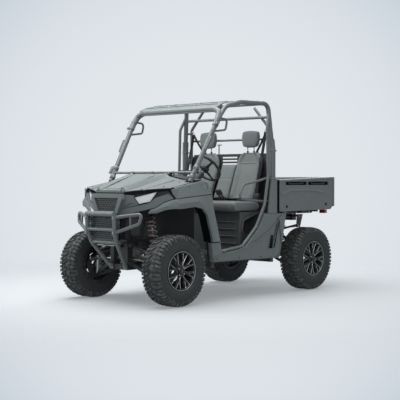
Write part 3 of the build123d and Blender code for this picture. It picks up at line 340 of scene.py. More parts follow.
def finish(name, colour, rough, metal=0.0, grain=900.0, bump=0.05, depth=0.0004, worn=None, wear=0.35,
           dust=0.12, drift=0.14, texture=None, **extra):
    """A Principled finish from the shared groups; texture(make, join) may give another height."""
    made = bpy.data.materials.new(name)
    make, join = node_tree(made)
    shader = make("ShaderNodeBsdfPrincipled", Metallic=metal, Roughness=rough)
    for socket, value in extra.items():
        shader.inputs[socket.replace("_", " ")].default_value = value
    join(shader, 0, make("ShaderNodeOutputMaterial"), "Surface")
    fine = make("ShaderNodeGroup", node_tree=GRAIN, Scale=grain)
    edge = make("ShaderNodeGroup", node_tree=WEAR)
    settled = make("ShaderNodeGroup", node_tree=DUST, Amount=dust)
    dark = [v * (1 - drift) for v in colour]
    pale = [min(1, v * (1 + drift)) for v in colour]
    below = None
    for over, source, mask, share in (
        (pale, fine, "Tone", 1.0), (worn or pale, edge, "Mask", wear), (DUST_COLOUR, settled, "Mask", 1.0)
    ):
        mix = make("ShaderNodeMix", data_type="RGBA")
        scaled = make("ShaderNodeMath", operation="MULTIPLY", use_clamp=True)
        scaled.inputs[1].default_value = share
        join(source, mask, scaled, 0)
        join(scaled, 0, mix, 0)
        mix.inputs[MIX_LOW].default_value = rgba(dark)
        mix.inputs[MIX_HIGH].default_value = rgba(over)
        if below:
            join(below, MIX_OUT, mix, MIX_LOW)
        below = mix
    join(below, MIX_OUT, shader, "Base Color")
    tone = map_range(make, 0.0, 1.0, max(ROUGH_LEAST, rough - ROUGH_DRIFT), min(1.0, rough + ROUGH_DRIFT))
    join(fine, "Tone", tone, "Value")
    join(tone, 0, shader, "Roughness")
    relief = make("ShaderNodeBump", Strength=bump, Distance=depth)
    source, height = texture(make, join) if texture else (fine, "Height")
    join(source, height, relief, "Height")
    join(relief, 0, shader, "Normal")
    return made


# %% Textures that only one finish has
def hide_height(make, join):
    """Pebbled vinyl: small cells with soft creases between them."""
    cells = on_object(make, join, "ShaderNodeTexVoronoi", Scale=430.0, feature="SMOOTH_F1")
    creases = on_object(make, join, "ShaderNodeTexNoise", Scale=60.0, Detail=5.0)
    both = make("ShaderNodeMath", operation="MULTIPLY_ADD")
    both.inputs[1].default_value = 0.7
    join(cells, "Distance", both, 0)
    join(creases, "Fac", both, 2)
    return both, 0


def weave_height(make, join):
    """Plain weave of webbing, as two crossed waves."""
    both = make("ShaderNodeMath", operation="MAXIMUM")
    for number, turn in enumerate("YZ"):
        wave = on_object(make, join, "ShaderNodeTexWave", Scale=190.0, bands_direction=turn)
        join(wave, "Fac", both, number)
    return both, 0


def lathe_height(make, join):
    """Fine turning rings round the wheel's axis."""
    spot = make("ShaderNodeSeparateXYZ")
    rings = make("ShaderNodeTexNoise", Scale=700.0, Detail=2.0)
    flat = make("ShaderNodeCombineXYZ")
    join(make("ShaderNodeTexCoord"), "Object", spot, 0)
    join(spot, "X", flat, "X")
    join(flat, 0, rings, "Vector")
    return rings, "Fac"


def rubber_height(make, join):
    """Dull rubber with scuffs and small pits."""
    scuffs = on_object(make, join, "ShaderNodeTexNoise", Scale=95.0, Detail=8.0, Roughness=0.7)
    return scuffs, "Fac"


# %% Finishes of this vehicle
FINISHES = {
    "grey_panel": finish("satin grey panel", (0.128, 0.148, 0.146), 0.42, grain=1400, bump=0.06,
                         worn=(0.26, 0.29, 0.285)),
    "cage_paint": finish("grey powder coat", (0.112, 0.130, 0.129), 0.40, grain=700, bump=0.12,
                         worn=(0.25, 0.28, 0.27), Coat_Weight=0.15, Coat_Roughness=0.3),
    "frame_paint": finish("black chassis paint", (0.022, 0.024, 0.025), 0.42, grain=500, bump=0.15,
                          worn=(0.14, 0.13, 0.12), dust=0.3, Specular_IOR_Level=0.4),
    "black_plastic": finish("black moulded plastic", (0.026, 0.029, 0.030), 0.55, grain=1100, bump=0.3,
                            worn=(0.08, 0.085, 0.085), dust=0.2, Specular_IOR_Level=0.35),
    "tyre": finish("tyre rubber", (0.038, 0.042, 0.042), 0.72, texture=rubber_height, bump=0.35,
                   depth=0.001, worn=(0.110, 0.115, 0.114), wear=1.0, dust=0.20, Specular_IOR_Level=0.3),
    "seat_vinyl": finish("seat vinyl", (0.125, 0.146, 0.143), 0.52, texture=hide_height, bump=0.22,
                         depth=0.0006, worn=(0.15, 0.17, 0.165), dust=0.06, Sheen_Weight=0.15),
    "webbing": finish("belt webbing", (0.012, 0.013, 0.014), 0.75, texture=weave_height, bump=0.5,
                      depth=0.0006, worn=(0.04, 0.04, 0.042), Specular_IOR_Level=0.2),
    "machined_rim": finish("black wheel lacquer", (0.009, 0.010, 0.010), 0.42, grain=300, bump=0.02,
                           worn=(0.20, 0.20, 0.20), wear=0.5, Coat_Weight=0.05, Coat_Roughness=0.3,
                           Specular_IOR_Level=0.25),
    "bare_steel": finish("zinc plated steel", (0.36, 0.36, 0.35), 0.38, metal=1.0, grain=220, bump=0.08,
                         worn=(0.6, 0.6, 0.58), dust=0.25),
    "cast_alloy": finish("cast alloy", (0.30, 0.30, 0.30), 0.5, metal=0.9, grain=260, bump=0.5,
                         depth=0.001, worn=(0.5, 0.5, 0.5), dust=0.3),
    "lamp_lens": finish("lamp lens", (0.80, 0.83, 0.84), 0.12, grain=90, bump=0.02, dust=0.03,
                        drift=0.03, wear=0.0, Coat_Weight=0.8, Coat_Roughness=0.05),
    "red_lens": finish("red lens", (0.30, 0.008, 0.008), 0.14, grain=90, bump=0.03, dust=0.05,
                       Coat_Weight=0.8, Coat_Roughness=0.05),
}
BRIGHT_RIM = finish("machined rim face", (0.36, 0.37, 0.37), 0.32, metal=1.0, texture=lathe_height,
                    bump=0.05, worn=(0.8, 0.8, 0.8), dust=0.05)
# Paler than the spring's own brownish paint: painted light that makes up for the shade in the wheel wells.
SPRING_PAINT_AND_PAINTED_LIGHT = finish("spring enamel with painted light", (0.34, 0.29, 0.26), 0.35, grain=240, bump=0.05,
                      worn=(0.22, 0.17, 0.13), wear=0.7, dust=0.3)
SHOCK_ROD = finish("hard chromed rod", (0.26, 0.26, 0.27), 0.28, metal=1.0, grain=120, bump=0.02)
# Part the own dark tone of the engine and brake discs, part painted shade of where they sit, under the body
# and inside the wheels.
DARK_STEEL_AND_SHADE = finish("dark steel with painted shade", (0.075, 0.075, 0.072), 0.55, metal=0.5, grain=260, bump=0.4,
                    Specular_IOR_Level=0.3)
THREAD = finish("sewing thread", (0.055, 0.062, 0.062), 0.8, grain=1800, bump=0.4, wear=0.0, dust=0.0)
TUB_PLASTIC = finish("dark grey tub plastic", (0.052, 0.059, 0.059), 0.6, grain=1100, bump=0.3,
                     worn=(0.11, 0.12, 0.12), dust=0.25)
# Darker than the moulded black plastic: the liners' own black with painted shade of the wheel wells.
ARCH_BLACK_AND_SHADE = finish("wheel arch black with painted shade", (0.007, 0.008, 0.008), 0.85, bump=0.3, dust=0.1,
                   Specular_IOR_Level=0.0)
# Grey where the mesh is black plastic: painted highlight of the light that its fine walls catch.
MESH_GREY_HIGHLIT = finish("grille mesh with painted highlight", (0.095, 0.104, 0.104), 0.38, grain=900, bump=0.1, dust=0.1)
PIT_BLACK = finish("unlit black", (0.006, 0.007, 0.007), 0.8, bump=0.02, wear=0.0, dust=0.0,
                   Specular_IOR_Level=0.0)
print("finishes", len(FINISHES), "by slot and", len(bpy.data.materials) - len(FINISHES), "more")

# %% Finishes of the solids
slots = {row["node"]: row["material_slot"] for row in frame["record"]["subparts"]}
for name, node in nodes.items():
    node.data.materials.clear()
    node.data.materials.append(FINISHES[slots[name]])

FIREWALL_Y, FORWARD = -0.62, -0.2
UNLIT = (0.006, 0.007, 0.007)


def paint_shade_ahead_of_firewall(made):
    """Paints near-black shade on what faces forward ahead of the firewall: the tub's nose, in the shade
    behind the grille and wheel wells.
    """
    tree = made.node_tree
    make, join = node_maker(tree), node_joiner(tree)
    shader = next(node for node in tree.nodes if node.type == "BSDF_PRINCIPLED")
    below = shader.inputs["Base Color"].links[0].from_node
    both = make("ShaderNodeMath", operation="MULTIPLY")
    for number, (kind, socket, limit) in enumerate((
        ("ShaderNodeTexCoord", "Object", FIREWALL_Y), ("ShaderNodeNewGeometry", "Normal", FORWARD)
    )):
        split = make("ShaderNodeSeparateXYZ")
        test = make("ShaderNodeMath", operation="LESS_THAN")
        test.inputs[1].default_value = limit
        join(make(kind), socket, split, 0)
        join(split, "Y", test, 0)
        join(test, 0, both, number)
    mix = make("ShaderNodeMix", data_type="RGBA")
    mix.inputs[MIX_HIGH].default_value = rgba(UNLIT)
    join(both, 0, mix, 0)
    join(below, MIX_OUT, mix, MIX_LOW)
    join(mix, MIX_OUT, shader, "Base Color")


# the tub's nose is painted near-black as shade
paint_shade_ahead_of_firewall(TUB_PLASTIC)
for name, look in (("floor_tub", TUB_PLASTIC), ("engine_block", DARK_STEEL_AND_SHADE), ("wheel_liners", ARCH_BLACK_AND_SHADE)):
    nodes[name].data.materials[0] = look
print("painted", len(slots), "CAD nodes")

# %% [markdown]
# ## Soft edges for the solids
#
# No moulded or bent part has a knife edge: light catches a small round on every corner, and
# that thin line is what makes a panel look real. The solids have sharp edges, so each one in the
# list below gets three modifiers: Weld joins the corners that the file keeps apart, Bevel rounds
# them, and Weighted Normal keeps the flats flat.

# %% Rounded edges on the solids that stay
EDGE_ROUNDS = {
    "hood": 0.006, "front_fascia": 0.005, "fender_left": 0.005, "fender_right": 0.005,
    "side_panel_left": 0.006, "side_panel_right": 0.006, "quarter_panels": 0.004,
    "bed": 0.004, "tailgate": 0.004, "cab_back": 0.003, "floor_tub": 0.003,
    "dashboard": 0.008, "roof_header": 0.004, "lamp_housings": 0.003, "headlamps": 0.002,
    "main_frame": 0.003, "skid_plate": 0.001, "engine_block": 0.008, "winch": 0.002,
    "tail_lamps": 0.004, "pedals": 0.002, "wheel_liners": 0.002,
}
WELD_REACH = 0.00005
SHARP_DEGREES = 32


def soft_edges(thing, width, weld=True):
    """Weld, bevel and weighted normals, so that a corner catches the light."""
    if weld:
        thing.modifiers.new("join corners", "WELD").merge_threshold = WELD_REACH
    rounder = thing.modifiers.new("round edges", "BEVEL")
    rounder.width = width
    rounder.segments = 2
    rounder.limit_method = "ANGLE"
    rounder.angle_limit = math.radians(SHARP_DEGREES)
    rounder.harden_normals = False
    flats = thing.modifiers.new("flat faces", "WEIGHTED_NORMAL")
    flats.keep_sharp = False


def smooth_faces(data):
    data.polygons.foreach_set("use_smooth", [True] * len(data.polygons))


for name, width in EDGE_ROUNDS.items():
    soft_edges(nodes[name], width)
print("rounded", len(EDGE_ROUNDS), "solids")

# %% [markdown]
# ## Making pieces
#
# Every new piece goes through one function: it turns a bmesh into an object, gives it its
# finish, lets it ride on a body of the frame, and hides the solids that it stands for.

# %% Piece maker
SIDES = (("left", 1), ("right", -1))


def add_piece(name, bm, body, slot, stands_for=(), looks=None, smooth=True, edge=0.0):
    """An object from a bmesh, riding on a body; looks are slots or finishes, by face index."""
    bmesh.ops.recalc_face_normals(bm, faces=bm.faces)
    data = bpy.data.meshes.new(name)
    bm.to_mesh(data)
    bm.free()
    made = bpy.data.objects.new(name, data)
    bpy.context.scene.collection.objects.link(made)
    for look in looks or [slot]:
        data.materials.append(FINISHES[look] if isinstance(look, str) else look)
    if smooth:
        smooth_faces(data)
    if edge:
        soft_edges(made, edge, weld=False)
    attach(made, body)
    if stands_for:
        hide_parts(*stands_for)
    return made


# %% Places and outlines
def from_side(side):
    """Turns (y, z, x) into a point; side is 1 on the left of the vehicle and -1 on its right."""
    return lambda y, z, x: Vector((side * x, y, z))


def from_front(x, z, y):
    return Vector((x, y, z))


def from_above(x, y, z):
    return Vector((x, y, z))


def rectangle(left, low, right, high):
    return [(left, low), (right, low), (right, high), (left, high)]


def circle(radius, count):
    """Outline with its points on a circle; six of them make a nut."""
    turns = [2 * math.pi * k / count for k in range(count)]
    return [(radius * math.cos(a), radius * math.sin(a)) for a in turns]


# %% Rings, tubes and prisms
def ring_of(bm, points):
    return [bm.verts.new(point) for point in points]


def bridge(bm, first, second, look=0):
    """Quads between two closed rings of the same count."""
    count = len(first)
    for i in range(count):
        j = (i + 1) % count
        face = bm.faces.new((first[i], first[j], second[j], second[i]))
        face.material_index = look


def bridge_all(bm, rings, look=0, closed=False):
    """Quads from each ring to the next; closed joins the last ring to the first."""
    for first, second in zip(rings, rings[1:]):
        bridge(bm, first, second, look)
    if closed:
        bridge(bm, rings[-1], rings[0], look)


def cap_ends(bm, rings, look):
    for ring in (rings[0], rings[-1]):
        bm.faces.new(ring).material_index = look


def spin_profile(bm, profile, place, count=96, look=0, closed=False):
    """Revolves (x, radius) points round X; place moves each point."""
    rings = []
    for x, radius in profile:
        rings.append(ring_of(bm, [place(Vector((x, u, v))) for u, v in circle(radius, count)]))
    bridge_all(bm, rings, look, closed)


def ahead_at(route, i):
    """Direction of a route at one of its points."""
    return (route[min(i + 1, len(route) - 1)] - route[max(i - 1, 0)]).normalized()


def across_route(way, ahead):
    """The part of a direction that is square to a route."""
    return (way - ahead * way.dot(ahead)).normalized()


def ring_round(bm, point, side, ahead, radius, count):
    up = ahead.cross(side)
    return ring_of(bm, [point + (side * u + up * v) * radius for u, v in circle(1.0, count)])


def smooth_route(points, radius, steps=6):
    """Rounds the inner corners of a run of straight lines."""
    points = [Vector(p) for p in points]
    route = [points[0]]
    for before, corner, after in zip(points, points[1:], points[2:]):
        into, out = (before - corner).normalized(), (after - corner).normalized()
        half = into.angle(out) / 2
        reach = min(radius / max(math.tan(half), 1e-3), (before - corner).length * 0.48,
                    (after - corner).length * 0.48)
        start, end = corner + into * reach, corner + out * reach
        for step in range(steps + 1):
            t = step / steps
            route.append(start * (1 - t) ** 2 + corner * 2 * t * (1 - t) + end * t ** 2)
    route.append(points[-1])
    return route


def sweep(bm, route, radii, count=12, look=0):
    """A round tube with closed ends along a route; radii is one number or one for each point."""
    route = [Vector(p) for p in route]
    if isinstance(radii, (int, float)):
        radii = [radii] * len(route)
    side = ahead_at(route, 0).orthogonal().normalized()
    rings = []
    for i, point in enumerate(route):
        ahead = ahead_at(route, i)
        side = across_route(side, ahead)
        rings.append(ring_round(bm, point, side, ahead, radii[i], count))
    bridge_all(bm, rings, look)
    cap_ends(bm, rings, look)


def prism(bm, outline, low, high, place, look=0, chamfer=0.0, chamfer_look=0):
    """A closed outline between two heights; place turns (u, v, height) into a point."""
    bottom = ring_of(bm, [place(u, v, low) for u, v in outline])
    top = ring_of(bm, [place(u, v, high) for u, v in outline])
    bridge(bm, bottom, top, look)
    bm.faces.new(bottom).material_index = look
    lid = bm.faces.new(top)
    lid.material_index = look
    if chamfer:
        lid.normal_update()
        rim = bmesh.ops.inset_region(bm, faces=[lid], thickness=chamfer, depth=0.0)
        shift = (place(0, 0, high) - place(0, 0, low)).normalized() * chamfer
        for vert in top:
            vert.co -= shift
        for face in rim["faces"]:
            face.material_index = chamfer_look


def smooth_first(made, count):
    """Smooth shading on the first faces of a piece only, which are the turned ones."""
    for face in made.data.polygons:
        face.use_smooth = face.index < count


print("helpers ready")

# %% [markdown]
# ## Tyres
#
# A mud tyre is a smooth carcass with separate rubber blocks on it. The carcass is one profile,
# turned round the axle. The blocks come in three families: slanting bars either side of the
# middle, alternating long and short shoulder blocks, and small biters on the side wall. Each
# block is a short tapered prism, narrower at its tip, so that mud falls out.

# %% Tyre
TYRE_RADIUS = 0.3497
TREAD_ROUND = 0.34
SHOULDER_FROM, SHOULDER_WIDTH, SHOULDER_DROP = 0.06, 0.048, 0.010
PITCHES = 26
TYRE_STEPS = 104
CARCASS = (
    (0.0980, 0.1787), (0.0984, 0.2000), (0.1010, 0.2040), (0.1065, 0.2090), (0.1108, 0.2190),
    (0.1130, 0.2320), (0.1136, 0.2450), (0.1132, 0.2580), (0.1140, 0.2610), (0.1138, 0.2650),
    (0.1124, 0.2680), (0.1105, 0.2850), (0.1080, 0.3020), (0.1030, 0.3170), (0.0930, 0.3280),
    (0.0740, 0.3335), (0.0400, 0.3365), (0.0, 0.3375),
)
# corners of each block as (distance from the middle, distance along the tread)
BARS = (
    ((0.004, -0.020), (0.004, 0.002), (0.050, 0.030), (0.056, 0.008)),
    ((0.024, -0.034), (0.022, -0.024), (0.055, -0.004), (0.058, -0.018)),
)
SHOULDERS = (
    ((0.062, -0.002), (0.060, 0.026), (0.108, 0.034), (0.108, 0.004)),
    ((0.076, -0.038), (0.074, -0.014), (0.108, -0.008), (0.108, -0.034)),
)
# columns: start and end along the tread, radius of the foot
BITERS = ((0.004, 0.034, 0.292), (-0.034, -0.008, 0.302))


def tread_top(x):
    """Radius of the blocks' tips at a distance from the middle plane."""
    x = abs(x)
    return TYRE_RADIUS - SHOULDER_DROP * max(0.0, (x - SHOULDER_FROM) / SHOULDER_WIDTH) ** 2


def on_wheel(x, along, radius):
    a = along / TREAD_ROUND
    return Vector((x, radius * math.cos(a), radius * math.sin(a)))


def block_on_tread(bm, corners, turn, flip, place):
    """One tread block: foot, chamfer line and tip, as three rings."""
    middle = Vector((sum(x for x, t in corners) / 4, sum(t for x, t in corners) / 4))
    spin = Matrix.Rotation(turn, 3, "X")
    rings = []
    for share, drop in ((1.10, 0.019), (0.97, 0.0022), (0.86, 0.0)):
        ring = []
        for x, t in corners:
            x = middle.x + (x - middle.x) * min(share, 1.0)
            t = middle.y + (t - middle.y) * share
            ring.append(place(spin @ on_wheel(x * flip, t, tread_top(x) - drop)))
        rings.append(ring_of(bm, ring))
    bridge_all(bm, rings)
    bm.faces.new(rings[-1])


def biter_on_wall(bm, start, end, foot, turn, flip, place):
    """A wedge on the side wall below a shoulder block."""
    spin = Matrix.Rotation(turn, 3, "X")
    rings = []
    for out, trim, low, high in ((0.1030, 0.0, foot, 0.336), (0.1152, 0.003, foot + 0.006, 0.331)):
        ring = []
        for t, radius in rectangle(start + trim, low, end - trim, high):
            reach = out if radius < 0.32 else out - 0.004
            ring.append(place(spin @ on_wheel(reach * flip, t, radius)))
        rings.append(ring_of(bm, ring))
    bridge_all(bm, rings)
    bm.faces.new(rings[-1])


def tyre(name, node, body, place):
    bm = bmesh.new()
    profile = [*CARCASS, *((-x, radius) for x, radius in reversed(CARCASS[:-1]))]
    spin_profile(bm, profile, place, TYRE_STEPS, closed=True)
    for pitch in range(PITCHES):
        for flip, lead in ((1, 0.0), (-1, 0.5)):
            turn = (pitch + lead) * 2 * math.pi / PITCHES
            for corners in BARS + SHOULDERS:
                block_on_tread(bm, corners, turn, flip, place)
            for start, end, foot in BITERS:
                biter_on_wall(bm, start, end, foot, turn, flip, place)
    made = add_piece(name, bm, body, "tyre", [node], smooth=False)
    smooth_first(made, TYRE_STEPS * len(profile))


# %% [markdown]
# ## Wheels
#
# The wheel is cast, lacquered black and then skimmed on a lathe, which bares thin bright edges
# round its spokes. It has a turned barrel, eight spokes that split in two, a hub with four
# nuts, and a cap. A black ring inside the barrel, outside the brake disc, is painted shade: it
# closes the gap there and keeps the pockets between the spokes dark. The bright edge is the
# chamfer of each spoke, with its own finish.

# %% Wheel
BARREL = (
    (-0.1050, 0.1700), (-0.1058, 0.1900), (-0.1050, 0.1945), (-0.1000, 0.1948), (-0.0985, 0.1925),
    (-0.0980, 0.1781), (0.0980, 0.1781), (0.0985, 0.1925), (0.1000, 0.1948), (0.1050, 0.1945),
    (0.1058, 0.1905), (0.1040, 0.1840), (0.0990, 0.1780), (0.0900, 0.1722), (0.0600, 0.1702),
)
LIP = ((0.1059, 0.1915), (0.1062, 0.1890), (0.1052, 0.1862), (0.1044, 0.1866), (0.1040, 0.1905))
SPOKE = (
    (0.036, -0.0135), (0.080, -0.0105), (0.120, -0.0200), (0.1715, -0.0365), (0.1725, -0.0215),
    (0.128, -0.0065), (0.112, 0.0), (0.128, 0.0065), (0.1725, 0.0215), (0.1715, 0.0365),
    (0.120, 0.0200), (0.080, 0.0105), (0.036, 0.0135),
)
HUB = (
    (0.060, 0.0), (0.060, 0.056), (0.086, 0.058), (0.0905, 0.054), (0.0900, 0.036), (0.0870, 0.034),
    (0.0870, 0.0),
)
POCKET_SHADE_RING = ((-0.0355, 0.112), (-0.0355, 0.1715), (-0.0315, 0.1715), (-0.0315, 0.112))
CAP = ((0.0865, 0.033), (0.0950, 0.031), (0.0985, 0.024), (0.1000, 0.012), (0.1003, 0.0))
RIM_STEPS, HUB_STEPS, CAP_STEPS = 96, 48, 32
SPOKES, NUTS = 8, 4
SPOKE_FOOT, SPOKE_DEPTH, SPOKE_CHAMFER = 0.066, 0.022, 0.0032
SPOKE_DISH, SPOKE_REACH = 0.012, 0.17
NUT_CIRCLE, NUT_RADIUS, NUT_FROM, NUT_TO = 0.0455, 0.0085, 0.088, 0.1005


def facing_out(centre, place):
    """Turns (u, v, height) round a centre into a point; height is along the wheel's axis."""
    return lambda u, v, height: place(Vector((height, centre.y + u, centre.z + v)))


def wheel(name, node, body, place):
    bm = bmesh.new()
    spin_profile(bm, BARREL, place, RIM_STEPS, closed=True)
    spin_profile(bm, LIP, place, RIM_STEPS, look=1, closed=True)
    spin_profile(bm, HUB, place, HUB_STEPS)
    spin_profile(bm, CAP, place, CAP_STEPS)
    for spoke in range(SPOKES):
        turn = Matrix.Rotation((spoke + 0.5) * 2 * math.pi / SPOKES, 3, "X")

        def on_spoke(u, v, height):
            dish = SPOKE_DISH * (u / SPOKE_REACH) ** 2
            return place(turn @ Vector((SPOKE_FOOT + dish + height, u, v)))

        prism(bm, SPOKE, 0.0, SPOKE_DEPTH, on_spoke, chamfer=SPOKE_CHAMFER, chamfer_look=1)
    for nut in range(NUTS):
        turn = Matrix.Rotation((nut + 0.5) * 2 * math.pi / NUTS, 3, "X")
        on_hub = facing_out(turn @ Vector((0.0, NUT_CIRCLE, 0.0)), place)
        prism(bm, circle(NUT_RADIUS, 6), NUT_FROM, NUT_TO, on_hub, look=2, chamfer=0.002, chamfer_look=2)
    # a black ring of painted shade behind the pockets, outside the brake disc
    spin_profile(bm, POCKET_SHADE_RING, place, RIM_STEPS, closed=True)
    looks = ["machined_rim", BRIGHT_RIM, "bare_steel"]
    made = add_piece(name, bm, body, "machined_rim", [node], looks=looks, smooth=False)
    turned = RIM_STEPS * (len(BARREL) + len(LIP))
    smooth_first(made, turned + HUB_STEPS * (len(HUB) - 1) + CAP_STEPS * (len(CAP) - 1))


DISC_X = -0.0625
DISC = ((0.0, 0.060), (0.0, 0.117), (0.0045, 0.117), (0.0045, 0.060))
BELL = ((0.001, 0.062), (0.028, 0.056), (0.030, 0.030))
HOLE_ROWS, HOLES, HOLE_RADIUS = (0.078, 0.092, 0.105), 16, 0.0035


def brake(name, body, place):
    """Drilled brake disc with its bell; it turns with the wheel. Its holes are black discs of painted shade.
    """
    bm = bmesh.new()
    spin_profile(bm, [(DISC_X + x, radius) for x, radius in DISC], place, count=64, closed=True)
    spin_profile(bm, [(DISC_X + x, radius) for x, radius in BELL], place, count=48)
    for ring, radius in enumerate(HOLE_ROWS):
        for hole in range(HOLES):
            a = (hole + ring / 3) * 2 * math.pi / HOLES
            on_disc = facing_out(Vector((0, radius * math.cos(a), radius * math.sin(a))), place)
            # each hole is a thin black disc: painted shade
            prism(bm, circle(HOLE_RADIUS, 8), DISC_X - 0.0004, DISC_X - 0.0002, on_disc, look=1)
    add_piece(name, bm, body, "bare_steel", looks=[DARK_STEEL_AND_SHADE, "frame_paint"], smooth=False)


TRACK_HALF, AXLE, HUB_HEIGHT = 0.608, 1.065, 0.35
# columns: which end, y of its axle, how far its wheels stand turned in radians
for end, y, turned in (("front", -AXLE, 0.11), ("rear", AXLE, 0.29)):
    for side_name, side in SIDES:

        def at_hub(point):
            point = Matrix.Rotation(turned, 3, "X") @ point
            return Vector((side * (TRACK_HALF + point.x), y + point.y, HUB_HEIGHT + point.z))

        body = f"wheel_{end}_{side_name}"
        tyre(f"mud_tyre_{end}_{side_name}", f"tyre_{end}_{side_name}", body, at_hub)
        wheel(f"alloy_wheel_{end}_{side_name}", f"rim_{end}_{side_name}", body, at_hub)
        brake(f"brake_disc_{end}_{side_name}", body, at_hub)
print("wheels: 4 tyres with", PITCHES * 2 * len(BARS + SHOULDERS + BITERS), "blocks each")

# %% [markdown]
# ## Shock absorbers
#
# A coil-over shock is a damper inside a steel spring. The solids have a ribbed sleeve in its
# place. Here the coil is a real helix: a round wire swept along points on a cylinder, with
# the turns closer together at both ends, as wound springs have them.

# %% Coil-over shocks
COIL_RADIUS, WIRE = 0.0430, 0.0072
SHOCKS = {"front": (-1.007, 0.208, 0.890), "rear": (1.007, 0.226, 0.770)}
FOOT_X, FOOT_Z = 0.342, 0.345
COIL_TURNS, STEPS_A_TURN, EASE = 9.5, 20, 0.030
PLATE_RADIUS = 0.048


def along(start, end):
    """A function that turns (distance along, sideways, depth) into a point between two ends."""
    axis = (end - start).normalized()
    depth = Vector((0, 1, 0))
    side = axis.cross(depth).normalized()
    return lambda t, u, v: start + axis * t + side * u + depth * v


def coil_over(name, node, end_name):
    y, head_x, head_z = SHOCKS[end_name]
    bm = bmesh.new()
    for side in (1, -1):
        foot = Vector((side * FOOT_X, y, FOOT_Z))
        head = Vector((side * head_x, y, head_z))
        length = (head - foot).length
        at = along(foot, head)

        def tube(stations, radii, look, count=24):
            sweep(bm, [at(t, 0, 0) for t in stations], radii, count, look)

        for t in (0.0, length):
            sweep(bm, [at(t, 0, -0.016), at(t, 0, 0.016)], 0.0155, count=24, look=1)
            sweep(bm, [at(t, 0, -0.0175), at(t, 0, 0.0175)], 0.008, count=16, look=3)
        tube((0.010, 0.035, 0.045, length * 0.52), [0.013, 0.016, 0.0225, 0.0225], 1)
        tube((length * 0.5, length - 0.012), 0.0075, 2, count=16)
        low, high = 0.058, length - 0.050
        for t in (low - 0.006, high + 0.006):
            radii = [PLATE_RADIUS - 0.002, PLATE_RADIUS, PLATE_RADIUS, PLATE_RADIUS - 0.002]
            tube((t - 0.006, t - 0.005, t + 0.005, t + 0.006), radii, 1, count=32)
        tube((high + 0.010, length - 0.014), [0.036, 0.014], 1)
        for ring in range(5):
            t = low - 0.012 - ring * 0.0030
            tube((t - 0.0008, t + 0.0008), 0.0265, 3)
        helix = []
        steps = int(COIL_TURNS * STEPS_A_TURN)
        for step in range(steps + 1):
            share = step / steps
            eased = low + (high - low) * (share - EASE * math.sin(2 * math.pi * share))
            a = 2 * math.pi * COIL_TURNS * share
            helix.append(at(eased, COIL_RADIUS * math.cos(a), COIL_RADIUS * math.sin(a)))
        sweep(bm, helix, WIRE, count=8)
    looks = [SPRING_PAINT_AND_PAINTED_LIGHT, "frame_paint", SHOCK_ROD, "cast_alloy"]
    add_piece(name, bm, "root", "frame_paint", [node], looks=looks)


coil_over("coil_over_front", "front_shocks", "front")
coil_over("coil_over_rear", "rear_shocks", "rear")
print("shocks: 4 coils of", COIL_TURNS, "turns")

# %% [markdown]
# ## Seats
#
# The cab has a bench cushion, two backs with a narrow middle part, and two headrests. Foam
# under vinyl is never flat: it crowns between the seams and pulls in at them. Each pad starts
# as a closed grid a little smaller than its solid. A short cloth simulation blows it up like a
# balloon, a cap keeps it from swelling too far, and the seams are pressed in afterwards,
# because a seam has to stay crisp.

# %% Pads from a grid
def closed_grid(columns, rows, surface):
    """A closed pad from surface(u, v, front) with u and v from 0 to 1; its rim is shared."""
    bm = bmesh.new()
    sheets = {}
    for front in (1, 0):
        for i in range(columns + 1):
            for j in range(rows + 1):
                rim = i in (0, columns) or j in (0, rows)
                if rim and not front:
                    sheets[0, i, j] = sheets[1, i, j]
                else:
                    sheets[front, i, j] = bm.verts.new(surface(i / columns, j / rows, front))
    for front in (1, 0):
        for i in range(columns):
            for j in range(rows):
                bm.faces.new([sheets[front, *c] for c in rectangle(i, j, i + 1, j + 1)])
    bmesh.ops.recalc_face_normals(bm, faces=bm.faces)
    return bm


PRESSURE, CLOTH_FRAMES = 4.0, 20


def inflate(pad, cap):
    """Cloth with pressure and no gravity for some frames; no point moves further than the cap."""
    before = [v.co.copy() for v in pad.data.vertices]
    cloth = pad.modifiers.new("inflate", "CLOTH")
    settings = cloth.settings
    settings.quality = 4
    settings.use_pressure = True
    settings.uniform_pressure_force = PRESSURE
    settings.effector_weights.gravity = 0.0
    cloth.collision_settings.use_collision = False
    scene = bpy.context.scene
    for number in range(1, CLOTH_FRAMES + 1):
        scene.frame_set(number)
    seen = pad.evaluated_get(bpy.context.evaluated_depsgraph_get())
    after = [v.co.copy() for v in seen.data.vertices]
    pad.modifiers.remove(cloth)
    scene.frame_set(1)
    farthest = 0.0
    for vert, old, new in zip(pad.data.vertices, before, after):
        move = new - old
        farthest = max(farthest, move.length)
        vert.co = old + move * min(1.0, cap / max(move.length, 1e-9))
    print("inflated", pad.name, "by at most", round(min(farthest, cap) * 1000, 1), "mm")


SEAM_WIDTH = 0.006


def groove(distance):
    """Depth share of a sewn channel at a distance from its line."""
    return math.exp(-(distance / SEAM_WIDTH) ** 2)


def press_seams(pad, places, lines, depth):
    """Presses seams in along the pad's normals; lines(place) gives the distance to the nearest one."""
    pad.data.update()
    normals = [v.normal.copy() for v in pad.data.vertices]
    for vert, normal, place in zip(pad.data.vertices, normals, places):
        vert.co -= normal * depth * groove(lines(place))


def make_pad(name, columns, rows, surface, stands_for, cap, seams, depth=0.005):
    """A pad of the seats: grid, simulation, seams and smoothing."""
    bm = closed_grid(columns, rows, surface)
    places = [v.co.copy() for v in bm.verts]
    pad = add_piece(name, bm, "root", "seat_vinyl", stands_for)
    inflate(pad, cap)
    press_seams(pad, places, seams, depth)
    smoother = pad.modifiers.new("smooth", "SUBSURF")
    smoother.levels = 1
    smoother.render_levels = 1


def rounded(t, power):
    """Half thickness share across a pad, from 0 at its rim to 1 in its middle."""
    return max(0.0, 1 - abs(2 * t - 1) ** power) ** (1 / power)


